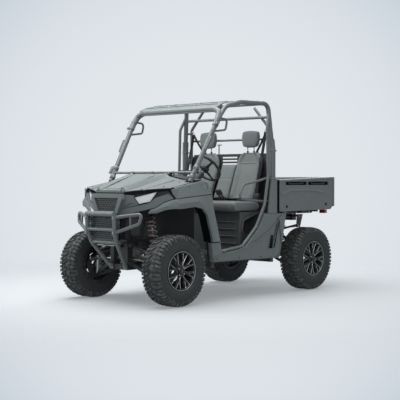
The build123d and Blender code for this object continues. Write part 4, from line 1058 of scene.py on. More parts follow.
# %% Bench cushion
CUSHION_HALF, CUSHION_FRONT, CUSHION_REAR = 0.588, -0.143, 0.284
CUSHION_LOW, CUSHION_HIGH, UNDERSIDE = 0.897, 0.994, 0.93
PLACE_SEAM, OUTER_SEAM, FRONT_SEAM = 0.115, 0.49, 0.055
NO_SEAM = 1.0


def cushion_surface(u, v, front):
    x = -CUSHION_HALF + 2 * CUSHION_HALF * u
    y = CUSHION_FRONT + (CUSHION_REAR - CUSHION_FRONT) * v
    middle = (CUSHION_LOW + CUSHION_HIGH) / 2 + 0.004
    half = (CUSHION_HIGH - CUSHION_LOW) / 2 - 0.004
    share = rounded(u, 14) * rounded(v, 6)
    roll = 0.012 * math.exp(-((v - 0.02) / 0.16) ** 2)
    if front:
        return Vector((x, y, middle + half * share + roll * share * 0.4))
    return Vector((x, y + 0.010 * (1 - v) * share, middle - half * share))


def cushion_seams(place):
    """Seams run front to back between the places and near the sides, and one along the front."""
    between = abs(abs(place.x) - PLACE_SEAM)
    outer = abs(abs(place.x) - OUTER_SEAM) if place.z > UNDERSIDE else NO_SEAM
    front = abs(place.y - CUSHION_FRONT - FRONT_SEAM) if place.z > UNDERSIDE + 0.01 else NO_SEAM
    return min(between, outer, front)


make_pad("bench_cushion", 96, 40, cushion_surface, ["seat_cushion"], cap=0.010, seams=cushion_seams)

# %% Seat backs
BACK_LOW, BACK_HIGH, MIDDLE_HEIGHT = 1.014, 1.540, 0.396
SEAT_CENTRE, BACK_HALF, MIDDLE_HALF = 0.315, 0.188, 0.112
PANEL_HALF, PANEL_TOP = 0.108, 1.420


def back_line(z):
    """y of the face of a back at a height, and its thickness: it leans less above its shoulders."""
    t = (z - 1.007) / 0.538
    face = 0.246 + 0.164 * min(t / 0.75, 1.0) + 0.030 * max(0.0, (t - 0.75) / 0.25)
    return face, 0.090 - 0.062 * t


def back_surface(side):
    """A back that narrows at its shoulders, with bolsters along both sides."""

    def surface(u, v, front):
        z = BACK_LOW + (BACK_HIGH - BACK_LOW) * v
        shoulder = max(0.0, (v - 0.74) / 0.26)
        half = BACK_HALF * (1 - 0.44 * shoulder ** 2.4) * (0.94 + 0.06 * min(1, v / 0.5))
        x = SEAT_CENTRE + (2 * u - 1) * half
        y, thick = back_line(z)
        share = rounded(u, 5) * rounded(v, 9)
        bolster = 0.014 * math.exp(-((abs(2 * u - 1) - 0.78) / 0.16) ** 2) * min(1, v / 0.12)
        middle = y + thick / 2
        if front:
            return Vector((side * x, middle - (thick / 2 + bolster) * share, z))
        return Vector((side * x, middle + (thick / 2 - 0.004) * share, z))

    return surface


def back_seams(place):
    """An inset panel: two upright seams and one across, on the face only."""
    y, thick = back_line(place.z)
    if place.y > y + thick * 0.55:
        return NO_SEAM
    x = abs(abs(place.x) - SEAT_CENTRE)
    upright = abs(x - PANEL_HALF) if place.z < PANEL_TOP + 0.004 else NO_SEAM
    across = abs(place.z - PANEL_TOP) if x < PANEL_HALF + 0.004 else NO_SEAM
    return min(upright, across)


for side_name, side in SIDES:
    make_pad(f"seat_back_{side_name}", 56, 76, back_surface(side), ["seat_backs"] if side > 0 else [],
             cap=0.008, seams=back_seams, depth=0.0055)


def middle_surface(u, v, front):
    z = BACK_LOW + MIDDLE_HEIGHT * v
    x = (2 * u - 1) * MIDDLE_HALF
    y, thick = back_line(z)
    share = rounded(u, 7) * rounded(v, 9)
    middle = y + 0.030 + thick / 2
    return Vector((x, middle - (1 if front else -1) * (thick / 2 - 0.004) * share, z))


make_pad("seat_back_middle", 30, 48, middle_surface, [], cap=0.006,
         seams=lambda p: abs(p.z - 1.24), depth=0.004)

# %% Headrests
REST_LOW, REST_HEIGHT, REST_HALF, REST_THICK = 1.581, 0.194, 0.122, 0.031
REST_Y, POST_Y, POST_ASIDE = 0.443, 0.446, 0.045


def round_corners(u, v, share):
    """Pulls the corners of a square grid in; 0 keeps the square and 1 makes a circle."""
    a, b = 2 * u - 1, 2 * v - 1
    return (0.5 + 0.5 * a * (1 - share + share * math.sqrt(1 - b * b / 2)),
            0.5 + 0.5 * b * (1 - share + share * math.sqrt(1 - a * a / 2)))


def headrest_surface(side):
    """A rounded headrest that narrows to its foot."""

    def surface(u, v, front):
        share = rounded(u, 4.5) * rounded(v, 4.5)
        u, v = round_corners(u, v, 0.52)
        z = REST_LOW + REST_HEIGHT * v
        half = REST_HALF * (1 - 0.10 * (1 - v) ** 2)
        x = SEAT_CENTRE + (2 * u - 1) * half
        middle = REST_Y + 0.006 * v
        return Vector((side * x, middle - (1 if front else -1) * REST_THICK * share, z))

    return surface


def headrest_seams(place):
    """One seam round the rim, shallower at the top and at the foot."""
    return abs(place.y - POST_Y) + (0 if 1.60 < place.z < 1.76 else 0.002)


for side_name, side in SIDES:
    make_pad(f"headrest_{side_name}", 40, 36, headrest_surface(side),
             ["headrests"] if side > 0 else [], cap=0.006, seams=headrest_seams, depth=0.003)


def headrest_posts():
    bm = bmesh.new()
    for side in (1, -1):
        for x in (SEAT_CENTRE - POST_ASIDE, SEAT_CENTRE + POST_ASIDE):
            sweep(bm, [(side * x, POST_Y, z) for z in (1.520, 1.60)], 0.006, count=16)
            collar = [(side * x, POST_Y, z) for z in (1.534, 1.542, 1.545)]
            sweep(bm, collar, [0.013, 0.013, 0.010], count=20, look=1)
    add_piece("headrest_posts", bm, "root", "bare_steel", looks=[SHOCK_ROD, "black_plastic"])


headrest_posts()

# %% [markdown]
# ## Thread
#
# Where two panels of vinyl meet there is a row of stitches beside the joint. Each stitch is a
# short round bar laid along the seam, a little proud of the vinyl. They are found by dropping
# the seam's line onto the finished pad, so they lie on the swollen surface.

# %% Stitches
def drop_onto(pad, start, direction):
    """The point and normal where a ray from start meets the finished pad, or None."""
    seen = pad.evaluated_get(bpy.context.evaluated_depsgraph_get())
    hit, place, normal, face = seen.ray_cast(start, direction)
    return (place, normal) if hit else None


STITCH_PITCH, STITCH_SHARE, THREAD_RADIUS, THREAD_LIFT = 0.008, 0.62, 0.0007, 0.0004


def stitch_rows(name, rows):
    """Rows of (pad name, start, end, direction that the ray looks in)."""
    bm = bmesh.new()
    count = 0
    for pad_name, start, end, look in rows:
        pad = bpy.data.objects[pad_name]
        start, end, look = Vector(start), Vector(end), Vector(look)
        steps = int((end - start).length / STITCH_PITCH)
        for step in range(steps):
            pair = []
            for share in (step, step + STITCH_SHARE):
                found = drop_onto(pad, start.lerp(end, share / steps) - look * 0.3, look)
                if found:
                    pair.append(found[0] + found[1] * THREAD_LIFT)
            if len(pair) == 2:
                sweep(bm, pair, THREAD_RADIUS, count=5)
                count += 1
    add_piece(name, bm, "root", "webbing", looks=[THREAD])
    print(name, count, "stitches")


REAR_LOOK, DOWN_LOOK = (0, 1, 0), (0, 0, -1)
rows = []
for side_name, side in SIDES:
    pad_name = f"seat_back_{side_name}"
    for x in (side * (SEAT_CENTRE - 0.121), side * (SEAT_CENTRE + 0.121)):
        rows.append((pad_name, (x, 0.4, 1.05), (x, 0.4, 1.43), REAR_LOOK))
    ends = [(side * (SEAT_CENTRE + reach), 0.4, 1.433) for reach in (-0.12, 0.12)]
    rows.append((pad_name, *ends, REAR_LOOK))
    rows.append(("bench_cushion", (side * 0.127, -0.08, 1.0), (side * 0.127, 0.25, 1.0), DOWN_LOOK))
front_y = CUSHION_FRONT + 0.067
rows.append(("bench_cushion", (-0.56, front_y, 1.0), (0.56, front_y, 1.0), DOWN_LOOK))
stitch_rows("seat_stitches", rows)

# %% [markdown]
# ## Front bodywork
#
# A moulded fender isn't a flat plate. Its upper half leans in towards the hood, so it catches
# the light from above. Below a narrow gap the flare stands out, rises to a crease and turns in
# at the wheel opening. Both are lofts: one closed section for each station along the panel.

# %% Lofts and plates
FACE = (0.8809, 0.4733)
FACE_START = (0.298, -1.300)
ACROSS = Vector((1, 0, 0))


def face_point(side, u, z, out=0.0):
    """A point on the slanting front: distance along it, height and metres outwards."""
    x = FACE_START[0] + u * FACE[0] + out * FACE[1]
    return Vector((side * x, FACE_START[1] + u * FACE[1] - out * FACE[0], z))


def loft(bm, sections, look=0):
    """A closed body through sections of the same count, with both ends capped."""
    rings = [ring_of(bm, section) for section in sections]
    bridge_all(bm, rings, look)
    cap_ends(bm, rings, look)


def plate(bm, outline, low, high, place, holes=(), look=0):
    """A flat plate with holes between two heights; place turns (u, v, height) into a point."""
    loops = [list(outline), *[list(hole) for hole in holes]]
    flat = [[Vector((u, v, 0)) for u, v in loop] for loop in loops]
    corners = [point for loop in loops for point in loop]
    bottom = ring_of(bm, [place(u, v, low) for u, v in corners])
    top = ring_of(bm, [place(u, v, high) for u, v in corners])
    for triangle in tessellate_polygon(flat):
        for sheet in (bottom, top):
            bm.faces.new([sheet[i] for i in triangle]).material_index = look
    start = 0
    for loop in loops:
        stop = start + len(loop)
        bridge(bm, bottom[start:stop], top[start:stop], look)
        start = stop


def grown(outline, share, middle=None):
    """An outline made larger or smaller about its middle, or about another point."""
    if middle is None:
        middle = sum((Vector(p) for p in outline), Vector((0, 0))) / len(outline)
    return [tuple(middle + (Vector(p) - middle) * share) for p in outline]


def line_at(points, where):
    """Height of a run of (place, height) points at a place."""
    for (a, low), (b, high) in zip(points, points[1:]):
        if where <= b:
            return low + (high - low) * (where - a) / (b - a)
    return points[-1][1]


def bolt_head(bm, at, outward, radius, look=0, washer=True):
    """A domed hexagon head on a washer, looking outwards."""
    at, outward = Vector(at), Vector(outward).normalized()
    if washer:
        sweep(bm, [at, at + outward * 0.0015], radius * 1.55, count=20, look=look)
    heights = [outward * radius * share for share in (0.0, 0.8, 1.05)]
    sweep(bm, [at + height for height in heights], [radius, radius, radius * 0.7], count=6, look=look)


# %% Fenders
SEAM = [(-1.163, 1.038), (-1.055, 1.050), (-0.929, 1.061), (-0.785, 1.072), (-0.600, 1.086)]
SHOULDER = [(-1.110, 1.156), (-0.679, 1.227), (-0.620, 1.217)]
# columns: top of the flare, crease and lip, each as (distance, height)
FLARE_FRONT = [
    ((0.140, 0.912), (0.142, 0.907), (0.144, 0.901)),
    ((0.165, 0.943), (0.172, 0.926), (0.182, 0.904)),
    ((0.212, 0.955), (0.219, 0.934), (0.228, 0.908)),
    ((0.300, 1.011), (0.308, 0.972), (0.318, 0.940)),
    ((0.396, 1.040), (0.392, 0.998), (0.392, 0.950)),
]
FLARE_SIDE = [
    ((-1.045, 1.049), (-1.045, 1.003), (-1.045, 0.951)),
    ((-0.929, 1.059), (-0.930, 1.012), (-0.940, 0.961)),
    ((-0.835, 1.066), (-0.824, 1.019), (-0.854, 0.966)),
    ((-0.741, 1.073), (-0.741, 0.973), (-0.753, 0.944)),
    ((-0.660, 1.079), (-0.668, 0.927), (-0.694, 0.883)),
    ((-0.606, 1.080), (-0.634, 0.840), (-0.667, 0.800)),
    ((-0.580, 0.940), (-0.606, 0.740), (-0.634, 0.700)),
    ((-0.531, 0.780), (-0.580, 0.665), (-0.617, 0.640)),
    ((-0.481, 0.610), (-0.552, 0.610), (-0.611, 0.610)),
]


def flare_section(base, normal, stand=1.0):
    """Five points of the flare's section from its three base points."""
    top, crease, lip = base
    steps = ((top, -0.004), (top, 0.002), (crease, 0.027 * stand), (lip, 0.022 * stand), (lip, -0.008))
    return [point + normal * out for point, out in steps]


FENDER_FACE, FENDER_LEAN = 0.6885, 0.0385
TOP_STATIONS = ((-1.092, 0.0), (-1.02, 0.0), (-0.93, 0.0), (-0.80, 0.0), (-0.679, 0.0), (-0.622, 0.125))
NOSE_TIP = ((0.436, 1.146), (0.368, 1.136), (0.386, 1.098), (0.420, 1.048), (0.438, 1.050))
# columns: height, distance and half width of the jamb's outer edge
JAMB = (
    (0.600, -0.487, 0.690), (0.979, -0.602, 0.690), (1.083, -0.615, 0.688), (1.200, -0.630, 0.648),
    (1.216, -0.631, 0.636),
)
HATCH = [(-0.748, 1.196), (-0.640, 1.203), (-0.634, 1.116), (-0.714, 1.114)]
HATCH_MIDDLE = Vector((-0.684, 1.158))


def fender_flare(side_name, side):
    bm = bmesh.new()
    sections = []
    outward = Vector((side, 0, 0))
    turn = Vector((side * FACE[1], -FACE[0], 0))
    for i, row in enumerate(FLARE_FRONT):
        base = [face_point(side, u, z) for u, z in row]
        sections.append(flare_section(base, turn, 0.25 + 0.15 * i))
    corner = [Vector((side * 0.686, -1.090, z)) for z in (1.045, 1.001, 0.951)]
    sections.append(flare_section(corner, (turn + outward).normalized()))
    for row in FLARE_SIDE:
        sections.append(flare_section([Vector((side * 0.688, y, z)) for y, z in row], outward))
    loft(bm, sections)
    add_piece(f"fender_flare_{side_name}", bm, "root", "grey_panel", [f"fender_{side_name}"], edge=0.003)


def fender_upper(side_name, side):
    bm = bmesh.new()
    sections = []
    for y, lean in TOP_STATIONS:
        seam, top = line_at(SEAM, y), line_at(SHOULDER, y)
        shape = (
            (0.6890, seam + 0.004), (FENDER_FACE, seam + 0.008), (0.650, top - 0.020), (0.643, top - 0.005),
            (0.634, top), (0.622, top - 0.004), (0.622, top - 0.014), (0.636, top - 0.017),
            (0.642, top - 0.028), (0.680, seam + 0.008), (0.680, seam + 0.004),
        )
        sections.append([Vector((side * x, y + lean * (top - z), z)) for x, z in shape])
    loft(bm, sections)
    plate(bm, NOSE_TIP, -0.012, 0.000, partial(face_point, side))
    add_piece(f"fender_upper_{side_name}", bm, "root", "grey_panel", edge=0.003)


def fender_jamb(side_name, side):
    bm = bmesh.new()
    sections = []
    for z, y, x in JAMB:
        corners = ((0.585, y), (x, y), (x, y + 0.012), (0.585, y + 0.012))
        sections.append([Vector((side * across, ahead, z)) for across, ahead in corners])
    loft(bm, sections)
    add_piece(f"fender_jamb_{side_name}", bm, "root", "grey_panel", edge=0.003)


def fender_hatch(side_name, side):
    """A black sheet behind the seam as its painted shade, and the framed hatch in the leaning upper half,
    whose groove is painted black as shade.
    """
    bm = bmesh.new()
    # painted shade: a black sheet behind the seam gap
    seam_shade_sheet = [(y, z - 0.03) for y, z in SEAM[1:]] + [(y, z + 0.03) for y, z in reversed(SEAM[1:])]
    plate(bm, seam_shade_sheet, 0.664, 0.670, from_side(side), look=1)

    def lean_place(y, z, out):
        seam, top = line_at(SEAM, y), line_at(SHOULDER, y)
        share = (z - seam) / (top - 0.020 - seam)
        return Vector((side * (FENDER_FACE - FENDER_LEAN * share + out), y, z + out * 0.3))

    opening = grown(HATCH, 0.80, HATCH_MIDDLE)
    plate(bm, HATCH, -0.001, 0.0028, lean_place, holes=[opening])
    # painted shade: the groove between the hatch's frame and its panel is black
    plate(bm, opening, -0.002, 0.0004, lean_place, look=1)
    plate(bm, grown(HATCH, 0.58, HATCH_MIDDLE), -0.001, 0.0036, lean_place)
    for y, z in ((-1.060, 1.135), (-0.900, 1.165)):
        bolt_head(bm, lean_place(y, z, 0.0), (side, 0, 0.3), 0.005, look=1, washer=False)
    looks = ["grey_panel", "black_plastic"]
    add_piece(f"fender_hatch_{side_name}", bm, "root", "grey_panel", looks=looks, edge=0.001)


for side_name, side in SIDES:
    for make_part in (fender_flare, fender_upper, fender_jamb, fender_hatch):
        make_part(side_name, side)
print("fenders")

# %% [markdown]
# ## Hood, grille and lamps
#
# Two ridges run back along the hood, with a shallow raised panel between them. The grilles are
# hexagonal meshes: every cell is a small ring. Behind each mesh a black sheet is painted shade.

# %% Hood ridges
HOOD_NOSE, HOOD_LENGTH = -1.354, 0.542
HOOD_FRONT = [
    (0, 1.131), (0.150, 1.128), (0.174, 1.139), (0.206, 1.118), (0.430, 1.114), (0.660, 1.112),
]
HOOD_REAR = [
    (0, 1.295), (0.228, 1.290), (0.252, 1.302), (0.296, 1.266), (0.470, 1.232), (0.660, 1.206),
]
RAISED = ((-0.092, -1.318), (0.092, -1.318), (0.150, -0.872), (-0.150, -0.872))


def hood_height(x, y):
    """z of the hood's middle and sides at a place, from its front and rear lines."""
    share = (y - HOOD_NOSE) / HOOD_LENGTH
    front, rear = line_at(HOOD_FRONT, x), line_at(HOOD_REAR, x)
    return front + (rear - front) * share


def hood_run(bm, side, shares, section, look=0):
    """A strip along the hood; section(share, y) gives its (x, z) points at a share of the length."""
    sections = []
    for share in shares:
        y = HOOD_NOSE + HOOD_LENGTH * share
        sections.append([Vector((side * x, y, z)) for x, z in section(share, y)])
    loft(bm, sections, look)


def ridge_section(share, y):
    swell = 0.55 + 0.45 * math.sin(math.pi * min(1, share + 0.25))
    foot_in, foot_out = 0.138 + 0.078 * share, 0.214 + 0.092 * share
    z = hood_height(foot_in, y)
    crest = z + 0.010 + 0.013 * swell
    out_z = 1.119 + (1.262 - 1.119) * share
    return ((foot_in, z - 0.004), (foot_in, z + 0.0005), (foot_in + 0.024, crest),
            (foot_in + 0.046, crest + 0.001), (foot_out, out_z + 0.002), (foot_out, out_z - 0.004))


# A black line at the inner foot of each ridge: painted shade in the crease.
def crease_shade_section(share, y):
    x = 0.132 + 0.078 * share
    z = hood_height(x, y)
    return ((x - 0.001, z - 0.002), (x - 0.001, z + 0.0012), (x + 0.0065, z + 0.0012),
            (x + 0.0065, z - 0.002))


def flank_section(share, y):
    x = 0.345 + 0.055 * share
    z = 1.1157 + (1.2498 - 1.1157) * share
    return ((x - 0.012, z - 0.006), (x - 0.002, z + 0.0075), (x + 0.030, z + 0.003), (x + 0.040, z - 0.008))


def hood_ridges():
    bm = bmesh.new()
    for side in (1, -1):
        hood_run(bm, side, (0.02, 0.25, 0.5, 0.75, 0.93), ridge_section)
        hood_run(bm, side, (0.03, 0.5, 0.92), crease_shade_section, look=1)
        hood_run(bm, side, (0.16, 0.5, 0.88), flank_section)
    plate(bm, RAISED, -0.002, 0.006, lambda x, y, h: Vector((x, y, hood_height(abs(x), y) + h)))
    for y in (-0.90, -1.12):
        for x in (-0.52, 0.52):
            bolt_head(bm, (x, y, hood_height(abs(x), y)), (0, -0.2, 1), 0.006, look=1, washer=False)
    add_piece("hood_ridges", bm, "hood", "grey_panel", looks=["grey_panel", PIT_BLACK], edge=0.003)


hood_ridges()

# %% Meshes of the grilles
CELL, WALL, MESH_DEPTH, MESH_REACH = 0.0132, 0.0017, 0.005, 0.25
HALF_CELL, CELL_WIDTH, ROW_HEIGHT = CELL * 0.866, CELL * 1.732, CELL * 1.5
MOUTH = [(-0.121, 0.925), (0.121, 0.925), (0.175, 1.053), (-0.175, 1.053)]
LOWER_MOUTH = [
    (-0.196, 0.640), (0.196, 0.640), (0.220, 0.735), (0.220, 0.876), (-0.220, 0.876), (-0.220, 0.735),
]


def is_inside(u, v, outline):
    """Whether a cell's centre lies inside a convex outline."""
    return all(
        (b[0] - a[0]) * (v - a[1]) - (b[1] - a[1]) * (u - a[0]) > -CELL * 0.004
        for a, b in zip(outline, outline[1:] + outline[:1])
    )


def hex_cell(bm, u, v, place):
    """One ring of the mesh: its outer and inner walls and the flats between them."""
    rings = []
    inner = CELL - WALL * 2
    for radius, height in ((CELL, 0), (CELL, MESH_DEPTH), (inner, MESH_DEPTH), (inner, 0)):
        rings.append(ring_of(bm, [place(u + dx, v + dz, height) for dz, dx in circle(radius, 6)]))
    bridge_all(bm, rings, closed=True)


def hex_mesh(bm, outline, place):
    """Hexagonal rings at every cell inside an outline."""
    rows = [point[1] for point in outline]
    row, v = 0, min(rows)
    while v <= max(rows):
        u = -MESH_REACH + (HALF_CELL if row % 2 else 0.0)
        while u < MESH_REACH:
            if is_inside(u, v, outline):
                hex_cell(bm, u, v, place)
            u += CELL_WIDTH
        v += ROW_HEIGHT
        row += 1


def grille_piece(name, outline, y, stands, frame_share):
    bm = bmesh.new()

    def place(x, z, out):
        return Vector((x, y - out, z))

    hex_mesh(bm, outline, place)
    plate(bm, outline, -0.002, 0.006, place, holes=[grown(outline, frame_share)])
    # a black sheet behind the mesh: painted shade
    plate(bm, grown(outline, 0.995), -0.020, -0.016, place, look=1)
    add_piece(name, bm, "root", "black_plastic", stands, looks=[MESH_GREY_HIGHLIT, PIT_BLACK], smooth=False)


grille_piece("grille_mesh", MOUTH, -1.386, ["grille"], 0.955)
grille_piece("lower_grille_mesh", LOWER_MOUTH, -1.430, [], 0.95)


# %% Lamps
LAMP = [(0.0, 1.059), (0.228, 1.114), (0.160, 1.020), (0.045, 0.996)]
SLATS, FIRST_SLAT, SLAT_PITCH = 4, 0.28, 0.15


def lamps(side_name, side):
    place = partial(face_point, side)
    bm = bmesh.new()
    plate(bm, grown(LAMP, 0.985), -0.017, -0.002, place)
    plate(bm, grown(LAMP, 0.80), -0.002, 0.0010, place)
    stands = ["headlamps"] if side > 0 else []
    add_piece(f"headlamp_{side_name}", bm, "root", "lamp_lens", stands, edge=0.003)
    bm = bmesh.new()
    plate(bm, grown(LAMP, 1.07), -0.012, 0.0015, place, holes=[grown(LAMP, 0.985)])
    upper_in, upper_out, lower_out, lower_in = [Vector(corner) for corner in LAMP]
    for step in range(SLATS):
        share = FIRST_SLAT + step * SLAT_PITCH
        top, foot = upper_in.lerp(upper_out, share), lower_in.lerp(lower_out, share)
        sweep(bm, [place(*top.lerp(foot, t), 0.0012) for t in (0.12, 0.88)], 0.0011, count=8, look=1)
    looks = ["black_plastic", "lamp_lens"]
    add_piece(f"headlamp_bezel_{side_name}", bm, "root", "black_plastic", looks=looks, edge=0.001)


for side_name, side in SIDES:
    lamps(side_name, side)
print("front of the bodywork")

# %% [markdown]
# ## Lower sides, quarter panels and bed
# A long curved step sweeps up along the lower side, with two slots behind it that are filled with
# black as painted shade. The bed has a pressed line, pockets under its rail painted black as their
# shade, and rubber plugs low down. Where the bed tips away from the cab, a black sheet in the gap
# is painted shade. Where the bed tips away
# from the cab there is a black seal, so it reads as a gap.

# %% Side skirts
SKIRT_BACK, SKIRT_FACE = 0.687, 0.6955


def catmull_rom(a, b, c, d, t):
    """One number on the smooth run from b to c, with a before and d after them."""
    bend, flick = 2 * a - 5 * b + 4 * c - d, 3 * b - a - 3 * c + d
    return 0.5 * (2 * b + (c - a) * t + bend * t * t + flick * t ** 3)


def curve_points(points, steps=4):
    """A smooth run through points, by Catmull-Rom interpolation."""
    padded = [points[0], *points, points[-1]]
    out = []
    for four in zip(padded, padded[1:], padded[2:], padded[3:]):
        for step in range(steps):
            out.append(tuple(catmull_rom(*axis, step / steps) for axis in zip(*four)))
    return out + [points[-1]]


SWEEP = curve_points([
    (-0.574, 0.462), (-0.450, 0.470), (-0.323, 0.492), (-0.150, 0.522), (0.027, 0.570), (0.190, 0.638),
    (0.330, 0.712), (0.447, 0.790), (0.520, 0.855),
])
VENTS = [
    [(0.288, 0.505), (0.346, 0.501), (0.362, 0.640), (0.328, 0.640)],
    [(0.370, 0.505), (0.387, 0.505), (0.480, 0.815), (0.465, 0.815)],
]


def side_skirt(side_name, side):
    place = from_side(side)
    bm = bmesh.new()
    outline = [(-0.580, 0.409), *SWEEP, (0.586, 0.856), (0.511, 0.526), (0.469, 0.397)]
    plate(bm, outline, SKIRT_BACK, SKIRT_FACE, place, holes=[grown(vent, 1.06) for vent in VENTS])
    sweep(bm, [place(y, z, 0.6950) for y, z in SWEEP], 0.0040, count=10)
    add_piece(f"side_skirt_{side_name}", bm, "root", "grey_panel", edge=0.0035)
    bm = bmesh.new()
    for vent in VENTS:
        # each slot is filled with black: painted shade inside it
        plate(bm, vent, 0.6862, 0.6959, place)
        low_front, low_rear, high_rear, high_front = [Vector(corner) for corner in vent]
        for share in (0.2, 0.4, 0.6, 0.8):
            ends = low_front.lerp(high_front, share), low_rear.lerp(high_rear, share)
            sweep(bm, [place(*end, SKIRT_FACE) for end in ends], 0.0018, count=8, look=1)
    for y, z in ((-0.54, 0.435), (-0.2, 0.43), (0.15, 0.425), (0.44, 0.42)):
        bolt_head(bm, place(y, z, SKIRT_FACE), (side, 0, 0), 0.0055, washer=False)
    add_piece(f"side_vents_{side_name}", bm, "root", "black_plastic", looks=[PIT_BLACK, "black_plastic"])


for side_name, side in SIDES:
    side_skirt(side_name, side)


# %% Bed details
PRESSED = [(0.509, 1.072), (0.579, 1.077), (0.668, 1.114), (1.108, 1.113), (1.261, 1.088)]
PRESSED_SECTION = ((-0.007, 0.684), (-0.003, 0.6925), (0.002, 0.6915), (0.016, 0.684))
RAIL_SECTION = (
    (0.643, -0.006), (0.645, 0.003), (0.682, 0.003), (0.6905, -0.004), (0.6905, -0.018), (0.684, -0.024),
)
BAR_ROUTE = ((0.06, 1.196), (0.12, 1.188), (0.26, 1.188), (0.33, 1.196))


def bed_top(y):
    """Height of the bed's rail, which climbs a little to the rear."""
    return 1.229 + (y - 0.480) * 0.033 / 0.985


def bed_side(side_name, side):
    place = from_side(side)
    bm = bmesh.new()
    loft(bm, [[place(y, z + dz, x) for dz, x in PRESSED_SECTION] for y, z in PRESSED])
    for front, rear in ((0.482, 0.592), (1.387, 1.463)):
        plate(bm, rectangle(front, 1.150, rear, 1.172), 0.6845, 0.687, place)
    loft(bm, [[place(y, bed_top(y) + dz, x) for x, dz in RAIL_SECTION] for y in (0.481, 0.9, 1.464)])
    hem = [place(y, z, 0.684) for y, z in ((0.486, 0.892), (1.420, 0.898), (1.463, 0.930))]
    sweep(bm, hem, 0.005, count=10)
    for y, foot in ((0.4855, 0.900), (1.4625, 0.930)):
        sweep(bm, [place(y, foot, 0.6835), place(y, bed_top(y) - 0.01, 0.6835)], 0.005, count=10)
    add_piece(f"bed_side_trim_{side_name}", bm, "bed", "grey_panel", edge=0.0015)
    bm = bmesh.new()
    for y in (0.594, 1.000):
        # black plate in each pocket under the rail: painted shade
        plate(bm, rectangle(y + 0.003, 1.175, y + 0.382, 1.209), 0.661, 0.665, place)
        bar = smooth_route([place(y + at, z, 0.672) for at, z in BAR_ROUTE], 0.03)
        sweep(bm, bar, 0.0085, count=12, look=1)
    for y, z in ((0.613, 0.940), (1.337, 0.954)):
        plug = [place(y, z, x) for x in (0.680, 0.6875, 0.6885)]
        sweep(bm, plug, [0.015, 0.015, 0.012], count=24)
        sweep(bm, [place(y, z, 0.6880), place(y, z, 0.6895)], 0.006, count=16, look=1)
    looks = [PIT_BLACK, "black_plastic"]
    add_piece(f"bed_pockets_{side_name}", bm, "bed", "black_plastic", looks=looks, edge=0.001)


for side_name, side in SIDES:
    bed_side(side_name, side)


def bed_gap_shade_sheets():
    bm = bmesh.new()
    for side in (1, -1):
        # black sheets in the gap between bed and cab: painted shade
        gap_outline = [(0.440, 0.876), (0.476, 0.890), (0.476, 1.226), (0.440, 1.226)]
        plate(bm, gap_outline, 0.640, 0.6900, from_side(side))
    add_piece("bed_gap_shade", bm, "root", "black_plastic", looks=[PIT_BLACK], edge=0.002)


bed_gap_shade_sheets()


# %% Bed floor ribs and headboard
RIBS, RIB_PITCH = 11, 0.11
HANDLE = [(-0.062, 1.484, 1.225), (-0.062, 1.4985, 1.225), (0.062, 1.4985, 1.225), (0.062, 1.484, 1.225)]


def bed_inside():
    bm = bmesh.new()
    for step in range(RIBS):
        x = -0.55 + step * RIB_PITCH
        plate(bm, rectangle(x - 0.022, 0.56, x + 0.022, 1.38), 0.9135, 0.9195, from_above)
    for x in (-0.40, 0.0, 0.40):
        plate(bm, rectangle(x - 0.14, 0.98, x + 0.14, 1.16), 0.509, 0.516, from_front)
    add_piece("bed_ribs", bm, "bed", "grey_panel", edge=0.0025)
    bm = bmesh.new()
    for x in (-0.43, 0.0, 0.43):
        plate(bm, rectangle(x - 0.12, 1.03, x + 0.12, 1.18), 1.4835, 1.4905, from_front)
    add_piece("tailgate_ribs", bm, "tailgate", "grey_panel", edge=0.0025)
    bm = bmesh.new()
    sweep(bm, smooth_route(HANDLE, 0.006), 0.0055, count=12)
    for side in (1, -1):
        pad = rectangle(side * 0.648 - 0.02, 1.202, side * 0.648 + 0.02, 1.242)
        plate(bm, pad, 1.5015, 1.5045, from_front)
        bolt_head(bm, (side * 0.648, 1.4985, 1.222), (0, 1, 0), 0.005)
    add_piece("tailgate_handle", bm, "tailgate", "bare_steel", edge=0.001)


bed_inside()


PAINT_AND_BOLTS = ["frame_paint", "bare_steel"]
RAIL = [(0.52, 0.852), (1.290, 0.852), (1.310, 0.872), (1.310, 0.8935), (0.52, 0.8935)]


def bed_underframe():
    """Black rails and cross members under the bed, with the bolts that hold them."""
    bm = bmesh.new()
    for side in (1, -1):
        plate(bm, RAIL, 0.480, 0.520, from_side(side))
        for y in (0.60, 0.80, 1.00, 1.24):
            bolt_head(bm, (side * 0.520, y, 0.872), (side, 0, 0), 0.008, look=1)
    for y in (0.66, 1.02, 1.282):
        plate(bm, rectangle(-0.60, 0.868, 0.60, 0.8935), y - 0.018, y + 0.018, from_front)
    add_piece("bed_underframe", bm, "bed", "frame_paint", looks=PAINT_AND_BOLTS, edge=0.002)


CASE_AT = Vector((0.190, 0.640, 0.560))
CASE_BOLTS, CASE_BOLT_CIRCLE = 8, 0.108


def engine_cases():
    """Cooling ribs on the engine's sides, and the round belt case on its left."""
    bm = bmesh.new()
    for side in (1, -1):
        for step in range(7):
            z = 0.440 + step * 0.036
            plate(bm, rectangle(0.365, z, 0.870, z + 0.010), 0.190, 0.207, from_side(side))
    case = [CASE_AT + ACROSS * out for out in (0, 0.034, 0.040, 0.0402)]
    sweep(bm, case, [0.118, 0.118, 0.108, 0.060], count=64)
    for u, v in circle(CASE_BOLT_CIRCLE, CASE_BOLTS):
        bolt_head(bm, CASE_AT + Vector((0.036, u, v)), ACROSS, 0.006, washer=False)
    add_piece("engine_cases", bm, "root", "cast_alloy", looks=[DARK_STEEL_AND_SHADE], edge=0.002)


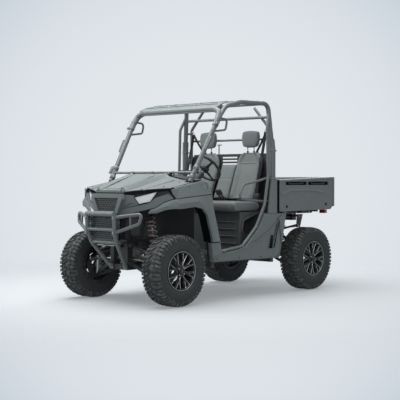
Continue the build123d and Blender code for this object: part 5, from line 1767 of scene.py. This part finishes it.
ARM = [(0.300, 0.802), (0.446, 0.812), (0.446, 0.834), (0.300, 0.834)]
HANGER = [(1.118, 0.838), (1.222, 0.838), (1.168, 0.690), (1.106, 0.690)]
BRACES = (
    ((0.440, 1.130, 0.706), (0.320, 1.128, 0.690), (0.112, 1.128, 0.632)),
    ((0.430, 1.125, 0.715), (0.400, 0.980, 0.690), (0.300, 0.760, 0.640), (0.236, 0.700, 0.600)),
)


def rear_outriggers():
    """Arms off the rear deck with the hanger plates and braces above the rear suspension."""
    bm = bmesh.new()
    for side in (1, -1):
        plate(bm, ARM, 1.150, 1.186, lambda x, z, y: Vector((side * x, y, z)))
        plate(bm, HANGER, 0.436, 0.446, from_side(side))
        for route in BRACES:
            sweep(bm, smooth_route([(side * x, y, z) for x, y, z in route], 0.05), 0.0115, count=16)
        for y, z in ((1.150, 0.820), (1.190, 0.820), (1.130, 0.706)):
            bolt_head(bm, (side * 0.446, y, z), (side, 0, 0), 0.008, look=1)
    add_piece("rear_outriggers", bm, "root", "frame_paint", looks=PAINT_AND_BOLTS, edge=0.002)


bed_underframe()
engine_cases()
rear_outriggers()
print("sides and bed")

# %% [markdown]
# ## Cab fittings
#
# The steering wheel turns about a leaning axis, so its points are worked out in the wheel's own
# plane first. Webbing is a flat ribbon: a thin section that follows a route and keeps its
# width level.

# %% Steering wheel
STEER_AT = Vector((0.300, -0.270, 1.355))
AXIS = Vector((0.0, 0.7555, 0.6552))
DOWNWARD = AXIS.cross(ACROSS)
GRIP_RADIUS, GRIP, GRIP_SWELL, GRIP_STEPS = 0.165, 0.0135, 0.0012, 96
# columns: distance from the hub, half width, half thickness, lift along the axis
STEER_SPOKE = (
    (0.030, 0.019, 0.007, -0.020), (0.060, 0.017, 0.006, -0.014), (0.120, 0.012, 0.005, -0.006),
    (0.160, 0.015, 0.006, 0.0),
)
STEER_INLAY = ((0.055, 0.008, -0.0085), (0.118, 0.005, -0.0008))
OCTAGON = ((-1, -0.5), (-0.7, -1), (0.7, -1), (1, -0.5), (1, 0.5), (0.7, 1), (-0.7, 1), (-1, 0.5))
# columns: height of the hub's cover along the axis, radius
STEER_COVER = (
    (-0.040, 0.034), (-0.036, 0.0418), (-0.006, 0.0418), (0.002, 0.038), (0.007, 0.026), (0.008, 0.004),
)


def wheel_spot(radius, angle, lift=0.0):
    a = math.radians(angle)
    return STEER_AT + (ACROSS * math.cos(a) + DOWNWARD * math.sin(a)) * radius + AXIS * lift


def closed_tube(bm, points, radii, count, look=0):
    """A tube along a closed run of points in the steering wheel's plane."""
    rings = []
    for i, point in enumerate(points):
        ahead = (points[(i + 1) % len(points)] - points[i - 1]).normalized()
        rings.append(ring_round(bm, point, across_route(AXIS.normalized(), ahead), ahead, radii[i], count))
    bridge_all(bm, rings, look, closed=True)


def steering_wheel():
    bm = bmesh.new()
    points, radii = [], []
    for i in range(GRIP_STEPS):
        share = i / GRIP_STEPS
        points.append(wheel_spot(GRIP_RADIUS, 360 * share))
        radii.append(GRIP + GRIP_SWELL * max(0, math.cos(3 * 2 * math.pi * (share - 0.25))))
    closed_tube(bm, points, radii, 14)
    for angle in (90, 210, 330):
        radial = (wheel_spot(1, angle) - STEER_AT).normalized()
        sideways = AXIS.cross(radial)
        sections = []
        for reach, wide, thick, lift in STEER_SPOKE:
            centre = STEER_AT + radial * reach + AXIS * lift
            sections.append([centre + sideways * u * wide + AXIS * v * thick for u, v in OCTAGON])
        loft(bm, sections)
        inlay = []
        for reach, wide, lift in STEER_INLAY:
            centre = STEER_AT + radial * reach + AXIS * lift
            corners = rectangle(-1, -0.003, 1, 0.0012)
            inlay.append([centre + sideways * u * wide + AXIS * v for u, v in corners])
        loft(bm, inlay, look=1)
    cover = [STEER_AT + AXIS * height for height, radius in STEER_COVER]
    sweep(bm, cover, [radius for height, radius in STEER_COVER], count=40)
    ring = [wheel_spot(0.029, 7.5 * i, 0.0062) for i in range(48)]
    closed_tube(bm, ring, [0.0014] * len(ring), 8, look=1)
    sweep(bm, [STEER_AT - AXIS * 0.116, STEER_AT - AXIS * 0.030], 0.012, count=24, look=1)
    looks = ["black_plastic", "bare_steel"]
    add_piece("steering_wheel_rim", bm, "steering_wheel", "black_plastic", ["steering_wheel"], looks=looks)


steering_wheel()


# %% Belts
WEBBING, WEB_THICK = 0.040, 0.0016
UPRIGHT = (Vector((1, 0, 0)), Vector((0, 1, 0)), Vector((0, 0, 1)))
# columns: corner of the ribbon's section as shares of its half width and half thickness
RIBBON = ((-1, -0.4), (-0.96, -1), (0.96, -1), (1, -0.4), (1, 0.4), (0.96, 1), (-0.96, 1), (-1, 0.4))
DOWN_BELT = [(0.430, 1.752), (0.397, 1.600), (0.330, 1.350), (0.288, 1.150), (0.276, 1.075)]
OVER_BELT = [(0.536, 1.748), (0.490, 1.672), (0.440, 1.600), (0.400, 1.545), (0.380, 1.490)]
LAP_BELT = ((0.536, 0.262, 1.030), (0.530, 0.225, 1.014), (0.505, 0.130, 1.012), (0.500, 0.060, 1.013))


def ribbon(bm, route, width_way):
    """A flat ribbon of webbing along a route; width_way is the direction of its width."""
    route = [Vector(p) for p in route]
    sections = []
    for i, point in enumerate(route):
        ahead = ahead_at(route, i)
        way = across_route(Vector(width_way), ahead) * WEBBING / 2
        up = ahead.cross(way).normalized() * WEB_THICK / 2
        sections.append([point + way * u + up * v for u, v in RIBBON])
    loft(bm, sections)


def rounded_box(bm, centre, half, axes=UPRIGHT, look=0, round_share=0.3):
    """A box with rounded upright corners and softened ends."""
    x, y, z = axes
    centre = Vector(centre)
    radius = round_share * min(half[0], half[1])
    outline = []
    for sign_x, sign_y, start in ((1, 1, 0), (-1, 1, 90), (-1, -1, 180), (1, -1, 270)):
        for step in range(4):
            a = math.radians(start + step * 30)
            outline.append((sign_x * (half[0] - radius) + radius * math.cos(a),
                            sign_y * (half[1] - radius) + radius * math.sin(a)))
    sections = []
    for share, scale in ((-1, 0.90), (-0.93, 1.0), (0.93, 1.0), (1, 0.90)):
        end = centre + z * half[2] * share
        sections.append([end + x * u * scale + y * v * scale for u, v in outline])
    loft(bm, sections, look)


def buckle(bm, foot, lean):
    """A stalk and its buckle, between the seats."""
    top = foot + Vector((lean, -0.055, 0.082))
    sweep(bm, smooth_route([foot, foot + Vector((0, -0.004, 0.03)), top], 0.02), 0.010, count=14, look=1)
    up = (top - foot).normalized()
    axes = (ACROSS, up.cross(ACROSS).normalized(), up)
    rounded_box(bm, top + up * 0.020, (0.021, 0.012, 0.032), axes, look=1)
    rounded_box(bm, top + up * 0.052, (0.013, 0.008, 0.003), axes, look=1)


def belt_ring(bm, ring, side):
    """The steel loop that the webbing hangs from, and its bolt."""
    boss = ring + Vector((side * 0.010, -0.012, 0.024))
    sweep(bm, [boss, boss + Vector((0, 0.016, 0))], 0.014, count=24)
    bolt_head(bm, boss, (0, -1, 0), 0.008)
    corners = ((-0.024, -0.006), (-0.024, 0.006), (side * 0.008, 0.030), (0.024, 0.006), (0.024, -0.006),
               (-0.024, -0.006))
    sweep(bm, smooth_route([ring + Vector((dx, 0, dz)) for dx, dz in corners], 0.008), 0.0028, count=10)


def belts():
    bm, steel = bmesh.new(), bmesh.new()
    for side in (1, -1):
        ribbon(bm, [(side * 0.534, y, z) for y, z in curve_points(DOWN_BELT)], (1, 0, 0))
        over = [(side * x, 0.436 + 0.02 * (1.748 - z) / 0.25, z) for x, z in curve_points(OVER_BELT)]
        ribbon(bm, over, (0, 1, 0))
        rounded_box(bm, (side * 0.534, 0.285, 1.050), (0.028, 0.024, 0.034), look=1)
        rounded_box(bm, (side * 0.534, 0.352, 1.440), (0.025, 0.005, 0.030), look=1)
        belt_ring(steel, Vector((side * 0.540, 0.434, 1.752)), side)
        for x, lean in ((0.060, 0.009), (0.110, -0.006)):
            buckle(bm, Vector((side * x, 0.236, 0.998)), side * lean)
        ribbon(bm, [(side * x, y, z) for x, y, z in LAP_BELT], (1, 0.2, 0))
        rounded_box(bm, (side * 0.499, 0.050, 1.016), (0.024, 0.030, 0.006), look=1)
    add_piece("belt_webbing", bm, "root", "webbing", ["seat_belts"], looks=["webbing", "black_plastic"])
    add_piece("belt_rings", steel, "root", "bare_steel")


belts()


# %% Floor mats and bin trims
MAT = [(0.06, -0.610), (0.545, -0.610), (0.545, -0.130), (0.17, -0.130), (0.06, -0.150)]
MAT_RIBS, MAT_RIB_PITCH = 9, 0.05
RECESS = [(0.030, 0.800), (0.262, 0.868), (0.262, 0.650), (0.047, 0.652), (0.005, 0.700)]
ARCH = [(0.285, 0.882), (0.12, 0.866), (-0.02, 0.83), (-0.038, 0.74), (-0.036, 0.60), (-0.03, 0.50)]
ARCH_SECTION = ((0.560, -0.004), (0.571, -0.002), (0.571, 0.012), (0.560, 0.014))
BULGE = ((0.20, -0.041), (0.24, -0.046), (0.48, -0.046), (0.52, -0.041))


def floor_mats():
    bm = bmesh.new()
    for side in (1, -1):
        plate(bm, [(side * x, y) for x, y in MAT], 0.480, 0.4845, from_above)
        for step in range(MAT_RIBS):
            y = -0.58 + step * MAT_RIB_PITCH
            sweep(bm, [(side * 0.09, y, 0.4845), (side * 0.52, y, 0.4845)], 0.0035, count=8)
    add_piece("floor_mats", bm, "root", "black_plastic", edge=0.001)


def seat_base_trim():
    bm = bmesh.new()
    for side in (1, -1):
        place = from_side(side)
        front_high, rear_high, rear_low, front_low, front_step = grown(RECESS, 1.10)
        run = [place(y, z, 0.568) for y, z in (rear_low, rear_high, front_high, front_step, front_low)]
        sweep(bm, smooth_route(run, 0.03), 0.010, count=12)
        loft(bm, [[place(y + dy, z, x) for x, dy in ARCH_SECTION] for y, z in curve_points(ARCH)])
        for row in range(4):
            z = 0.56 + row * 0.075
            sweep(bm, [(side * x, y, z) for x, y in BULGE], 0.007, count=10)
    add_piece("seat_base_trim", bm, "root", "black_plastic", looks=[TUB_PLASTIC])


floor_mats()
seat_base_trim()

# %% Dashboard
GLOVE_BOX = [(-0.42, 1.015), (-0.16, 1.015), (-0.15, 1.085), (-0.43, 1.085)]
GAUGE_AT = Vector((0.300, -0.552, 1.272))
GAUGE_LOOK = Vector((0, 0.92, 0.26)).normalized()
TICKS, TICK_DEGREES, FIRST_TICK = 9, 30, 210


def on_dashboard(x, z, out):
    return Vector((x, -0.545 + (z - 1.18) * 0.15 + out, z))


def gauge(bm):
    """A round gauge with ticks and a needle, and no figures."""

    def at(height):
        return GAUGE_AT + GAUGE_LOOK * height

    sweep(bm, [at(-0.03), at(0.026), at(0.028)], [0.050, 0.050, 0.045], count=40)
    sweep(bm, [at(0.0275), at(0.029)], 0.043, count=40, look=1)
    upward = ACROSS.cross(GAUGE_LOOK)
    for step in range(TICKS):
        a = math.radians(FIRST_TICK - step * TICK_DEGREES)
        arm = ACROSS * math.cos(a) + upward * math.sin(a)
        sweep(bm, [at(0.0295) + arm * 0.032, at(0.0295) + arm * 0.039], 0.0009, count=6, look=2)
    sweep(bm, [at(0.030), at(0.030) + Vector((-0.026, 0, 0.012))], 0.0008, count=6, look=3)


def dashboard_trim():
    bm = bmesh.new()
    for x in (-0.47, -0.10, 0.12, 0.48):
        vent = rectangle(x - 0.035, 1.105, x + 0.035, 1.150)
        plate(bm, vent, -0.004, 0.008, on_dashboard, holes=[grown(vent, 0.84)])
        for step in range(4):
            z = 1.114 + step * 0.009
            slat = [on_dashboard(x - 0.03, z, 0.004), on_dashboard(x + 0.03, z, 0.004)]
            sweep(bm, slat, 0.0018, count=8)
    plate(bm, GLOVE_BOX, -0.020, 0.004, on_dashboard)
    sweep(bm, [on_dashboard(x, 1.072, 0.005) for x in (-0.31, -0.27)], 0.005, count=12)
    gauge(bm)
    for step in range(4):
        rounded_box(bm, on_dashboard(0.05 + step * 0.035, 1.045, 0.003), (0.012, 0.006, 0.018), look=1)
    looks = ["black_plastic", PIT_BLACK, "lamp_lens", "red_lens"]
    add_piece("dashboard_trim", bm, "root", "black_plastic", looks=looks, edge=0.001)


dashboard_trim()
print("cab fittings")

# %% [markdown]
# ## Cage fittings, bumper and winch
#
# Tubes are joined with split clamps: a collar, two ears and a bolt. The winch has its rope
# wound on, a fairlead in front and a hook.

# %% Cage clamps and roof
PILLAR_LOW, PILLAR_HIGH = Vector((0.582, -0.812, 1.213)), Vector((0.620, -0.428, 1.866))


def pillar_spot(side, z):
    """A point on the axis of a front pillar at a height."""
    share = (z - PILLAR_LOW.z) / (PILLAR_HIGH.z - PILLAR_LOW.z)
    spot = PILLAR_LOW.lerp(PILLAR_HIGH, share)
    return Vector((side * spot.x, spot.y, spot.z))


def clamp(bm, middle, along_way, ear_way, radius=0.0305, length=0.044):
    """A collar with two ears and a bolt."""
    along_way, ear_way = along_way.normalized(), ear_way.normalized()
    half = length / 2
    stations = [middle + along_way * reach for reach in (-half, 0.003 - half, half - 0.003, half)]
    sweep(bm, stations, [radius - 0.003, radius, radius, radius - 0.003], count=28)
    across = along_way.cross(ear_way).normalized()
    for sign in (1, -1):
        spot = middle + ear_way * (radius + 0.008) + across * sign * 0.0065
        rounded_box(bm, spot, (0.0045, 0.014, half - 0.004), (across, ear_way, along_way), round_share=0.5)
    spot = middle + ear_way * (radius + 0.011)
    sweep(bm, [spot - across * 0.016, spot + across * 0.016], 0.0035, count=12, look=1)
    bolt_head(bm, spot + across * 0.011, across, 0.0062, look=1)
    bolt_head(bm, spot - across * 0.011, -across, 0.0062, look=1)


COLLARS = ((1.262, (-1, -0.4, 0)), (1.352, (1, -0.5, 0)), (1.800, (1, -0.6, 0)))
FLANGE_AT, FLANGE_REACH = (0.582, -0.812, 1.2063), 0.024
TUB_BOLTS = ((0.120, 0.736), (-0.110, 0.538), (-0.400, 0.508))


def pillar_fittings(bm, side):
    """Collars, a grab bar and a bracket on one front pillar."""
    run = pillar_spot(side, 1.6) - pillar_spot(side, 1.4)
    for z, (ear_x, ear_y, ear_z) in COLLARS:
        clamp(bm, pillar_spot(side, z), run, Vector((side * ear_x, ear_y, ear_z)))
    low, high = pillar_spot(side, 1.535), pillar_spot(side, 1.660)
    out = Vector((side * 0.034, -0.022, 0))
    sweep(bm, smooth_route([low, low + out, high + out, high], 0.012), 0.0085, count=12)
    low, high = pillar_spot(side, 1.300), pillar_spot(side, 1.395)
    out = Vector((side * 0.030, -0.030, 0))
    axes = (run.cross(out).normalized(), out.normalized(), run.normalized())
    rounded_box(bm, low.lerp(high, 0.4) + out, (0.006, 0.017, 0.045), axes, round_share=0.6)


def cage_clamps():
    bm = bmesh.new()
    upward, rearward = Vector((0, 0, 1)), Vector((0, 1, 0))
    for side in (1, -1):
        pillar_fittings(bm, side)
        for z in (1.238, 1.545):
            clamp(bm, Vector((side * 0.645, 0.410, z)), upward, rearward, radius=0.0375, length=0.020)
        x, y, z = FLANGE_AT
        for dx, dy in ((1, 0), (-1, 0), (0, -1), (0, 1)):
            bolt = (side * (x + dx * FLANGE_REACH), y + dy * FLANGE_REACH, z)
            bolt_head(bm, bolt, upward, 0.0045, look=1, washer=False)
        for y, z in TUB_BOLTS:
            bolt_head(bm, (side * 0.6765, y, z), (side, 0, 0), 0.0045, look=1)
    for x in (-0.30, 0.0, 0.30):
        clamp(bm, Vector((x, -0.757, 1.306)), ACROSS, Vector((0, -0.2, -1)), radius=0.0165, length=0.022)
    add_piece("cage_clamps", bm, "root", "cage_paint", looks=["cage_paint", "bare_steel"])


HALF_TUBE = [(0.520, -0.380, 1.957), (0.600, -0.392, 1.925), (0.614, -0.440, 1.846)]
ROOF_LINE = [(-0.400, 1.983), (-0.305, 2.024), (-0.140, 2.052), (0, 2.06)]


def on_roof(x, y, height):
    return Vector((x, y, line_at(ROOF_LINE, y) + height))


def roof_front_tube():
    """The tube across the roof's front, the raised panels behind it, and a black strip of painted shade in
    front of each panel.
    """
    bm = bmesh.new()
    route = [(-x, y, z) for x, y, z in reversed(HALF_TUBE)] + HALF_TUBE
    sweep(bm, smooth_route(route, 0.09, steps=10), 0.0310, count=28)
    for left, right in ((-0.52, -0.20), (-0.17, 0.17), (0.20, 0.52)):
        panel = [(left, -0.232), (right, -0.232), (right - 0.01, -0.160), (left + 0.01, -0.160)]
        plate(bm, panel, -0.002, 0.006, on_roof)
        # painted shade: a black strip where the roof has a gap
        plate(bm, rectangle(left - 0.005, -0.338, right + 0.005, -0.328), -0.002, 0.0016, on_roof, look=1)
    for side in (1, -1):
        for x in (0.50, 0.22, 0.0):
            bolt_head(bm, on_roof(side * x, -0.290, 0.0), (0, -0.3, 1), 0.006, look=2)
    looks = ["cage_paint", PIT_BLACK, "bare_steel"]
    add_piece("roof_front_tube", bm, "root", "cage_paint", looks=looks, edge=0.002)


cage_clamps()
roof_front_tube()


# %% Bumper and winch
DRUM_Y, DRUM_Z, DRUM_RADIUS, DRUM_HALF = -1.360, 0.625, 0.0285, 0.064
ROPE, ROPE_TURNS, ROPE_STEPS = 0.0031, 22, 16
HOOK_AT, HOOK_RADIUS = (0.0, -1.436, 0.595), 0.022
GUSSETS = (((0.199, 0.874), (0.199, 0.800), (0.150, 0.874)), ((0.199, 0.765), (0.199, 0.805), (0.165, 0.765)))


def bumper_fittings():
    bm = bmesh.new()
    for side in (1, -1):
        for y, z in ((-1.474, 0.866), (-1.472, 0.716)):
            rounded_box(bm, (side * 0.199, y - 0.021, z), (0.016, 0.004, 0.026), round_share=0.8)
            bolt_head(bm, (side * 0.199, y - 0.0248, z), (0, -1, 0), 0.0055, look=1)
        for gusset in GUSSETS:
            plate(bm, [(side * x, z) for x, z in gusset], -1.458, -1.452, from_front)
    for side in (1, -1):
        for z in (0.66, 0.80):
            sweep(bm, [(side * 0.155, -1.430, z), (side * 0.190, -1.440, z + 0.01)], 0.007, count=12)
    add_piece("bumper_fittings", bm, "root", "cage_paint", looks=["cage_paint", "bare_steel"], edge=0.001)


def winch_rope():
    """Rope on the winch's drum, the drum's ribs, the roller fairlead and the hook."""
    bm = bmesh.new()
    wraps = []
    for step in range(ROPE_TURNS * ROPE_STEPS + 1):
        turns = step / ROPE_STEPS
        a = 2 * math.pi * turns
        wraps.append((DRUM_HALF * (2 * turns / ROPE_TURNS - 1), DRUM_Y + DRUM_RADIUS * math.cos(a),
                      DRUM_Z + DRUM_RADIUS * math.sin(a)))
    sweep(bm, wraps, ROPE, count=6)
    sweep(bm, [(0.0, -1.392, 0.632), (0.0, -1.425, 0.628)], ROPE, count=8)
    window = rectangle(-0.055, 0.612, 0.055, 0.642)
    plate(bm, rectangle(-0.095, 0.592, 0.095, 0.662), -1.414, -1.410, from_front, holes=[window], look=1)
    for z in (0.612, 0.642):
        sweep(bm, [(-0.058, -1.420, z), (0.058, -1.420, z)], 0.0075, count=16, look=1)
    for x in (-0.064, 0.064):
        sweep(bm, [(x, -1.420, 0.600), (x, -1.420, 0.654)], 0.0065, count=16, look=1)
    hook = [Vector((0.0, -1.428, 0.634))]
    for degrees in range(100, 370, 15):
        a = math.radians(degrees)
        hook.append(Vector(HOOK_AT) + Vector((math.cos(a), 0, math.sin(a))) * HOOK_RADIUS)
    sweep(bm, hook, 0.0055, count=12, look=2)
    for side in (1, -1):
        for ring in range(5):
            x = side * (0.072 + ring * 0.008)
            sweep(bm, [(x, DRUM_Y, DRUM_Z), (x + side * 0.003, DRUM_Y, DRUM_Z)], 0.0365, count=32, look=3)
    looks = ["bare_steel", "frame_paint", "cast_alloy", "black_plastic"]
    add_piece("winch_rope", bm, "root", "bare_steel", looks=looks)


bumper_fittings()
winch_rope()
print("cage, bumper and winch")
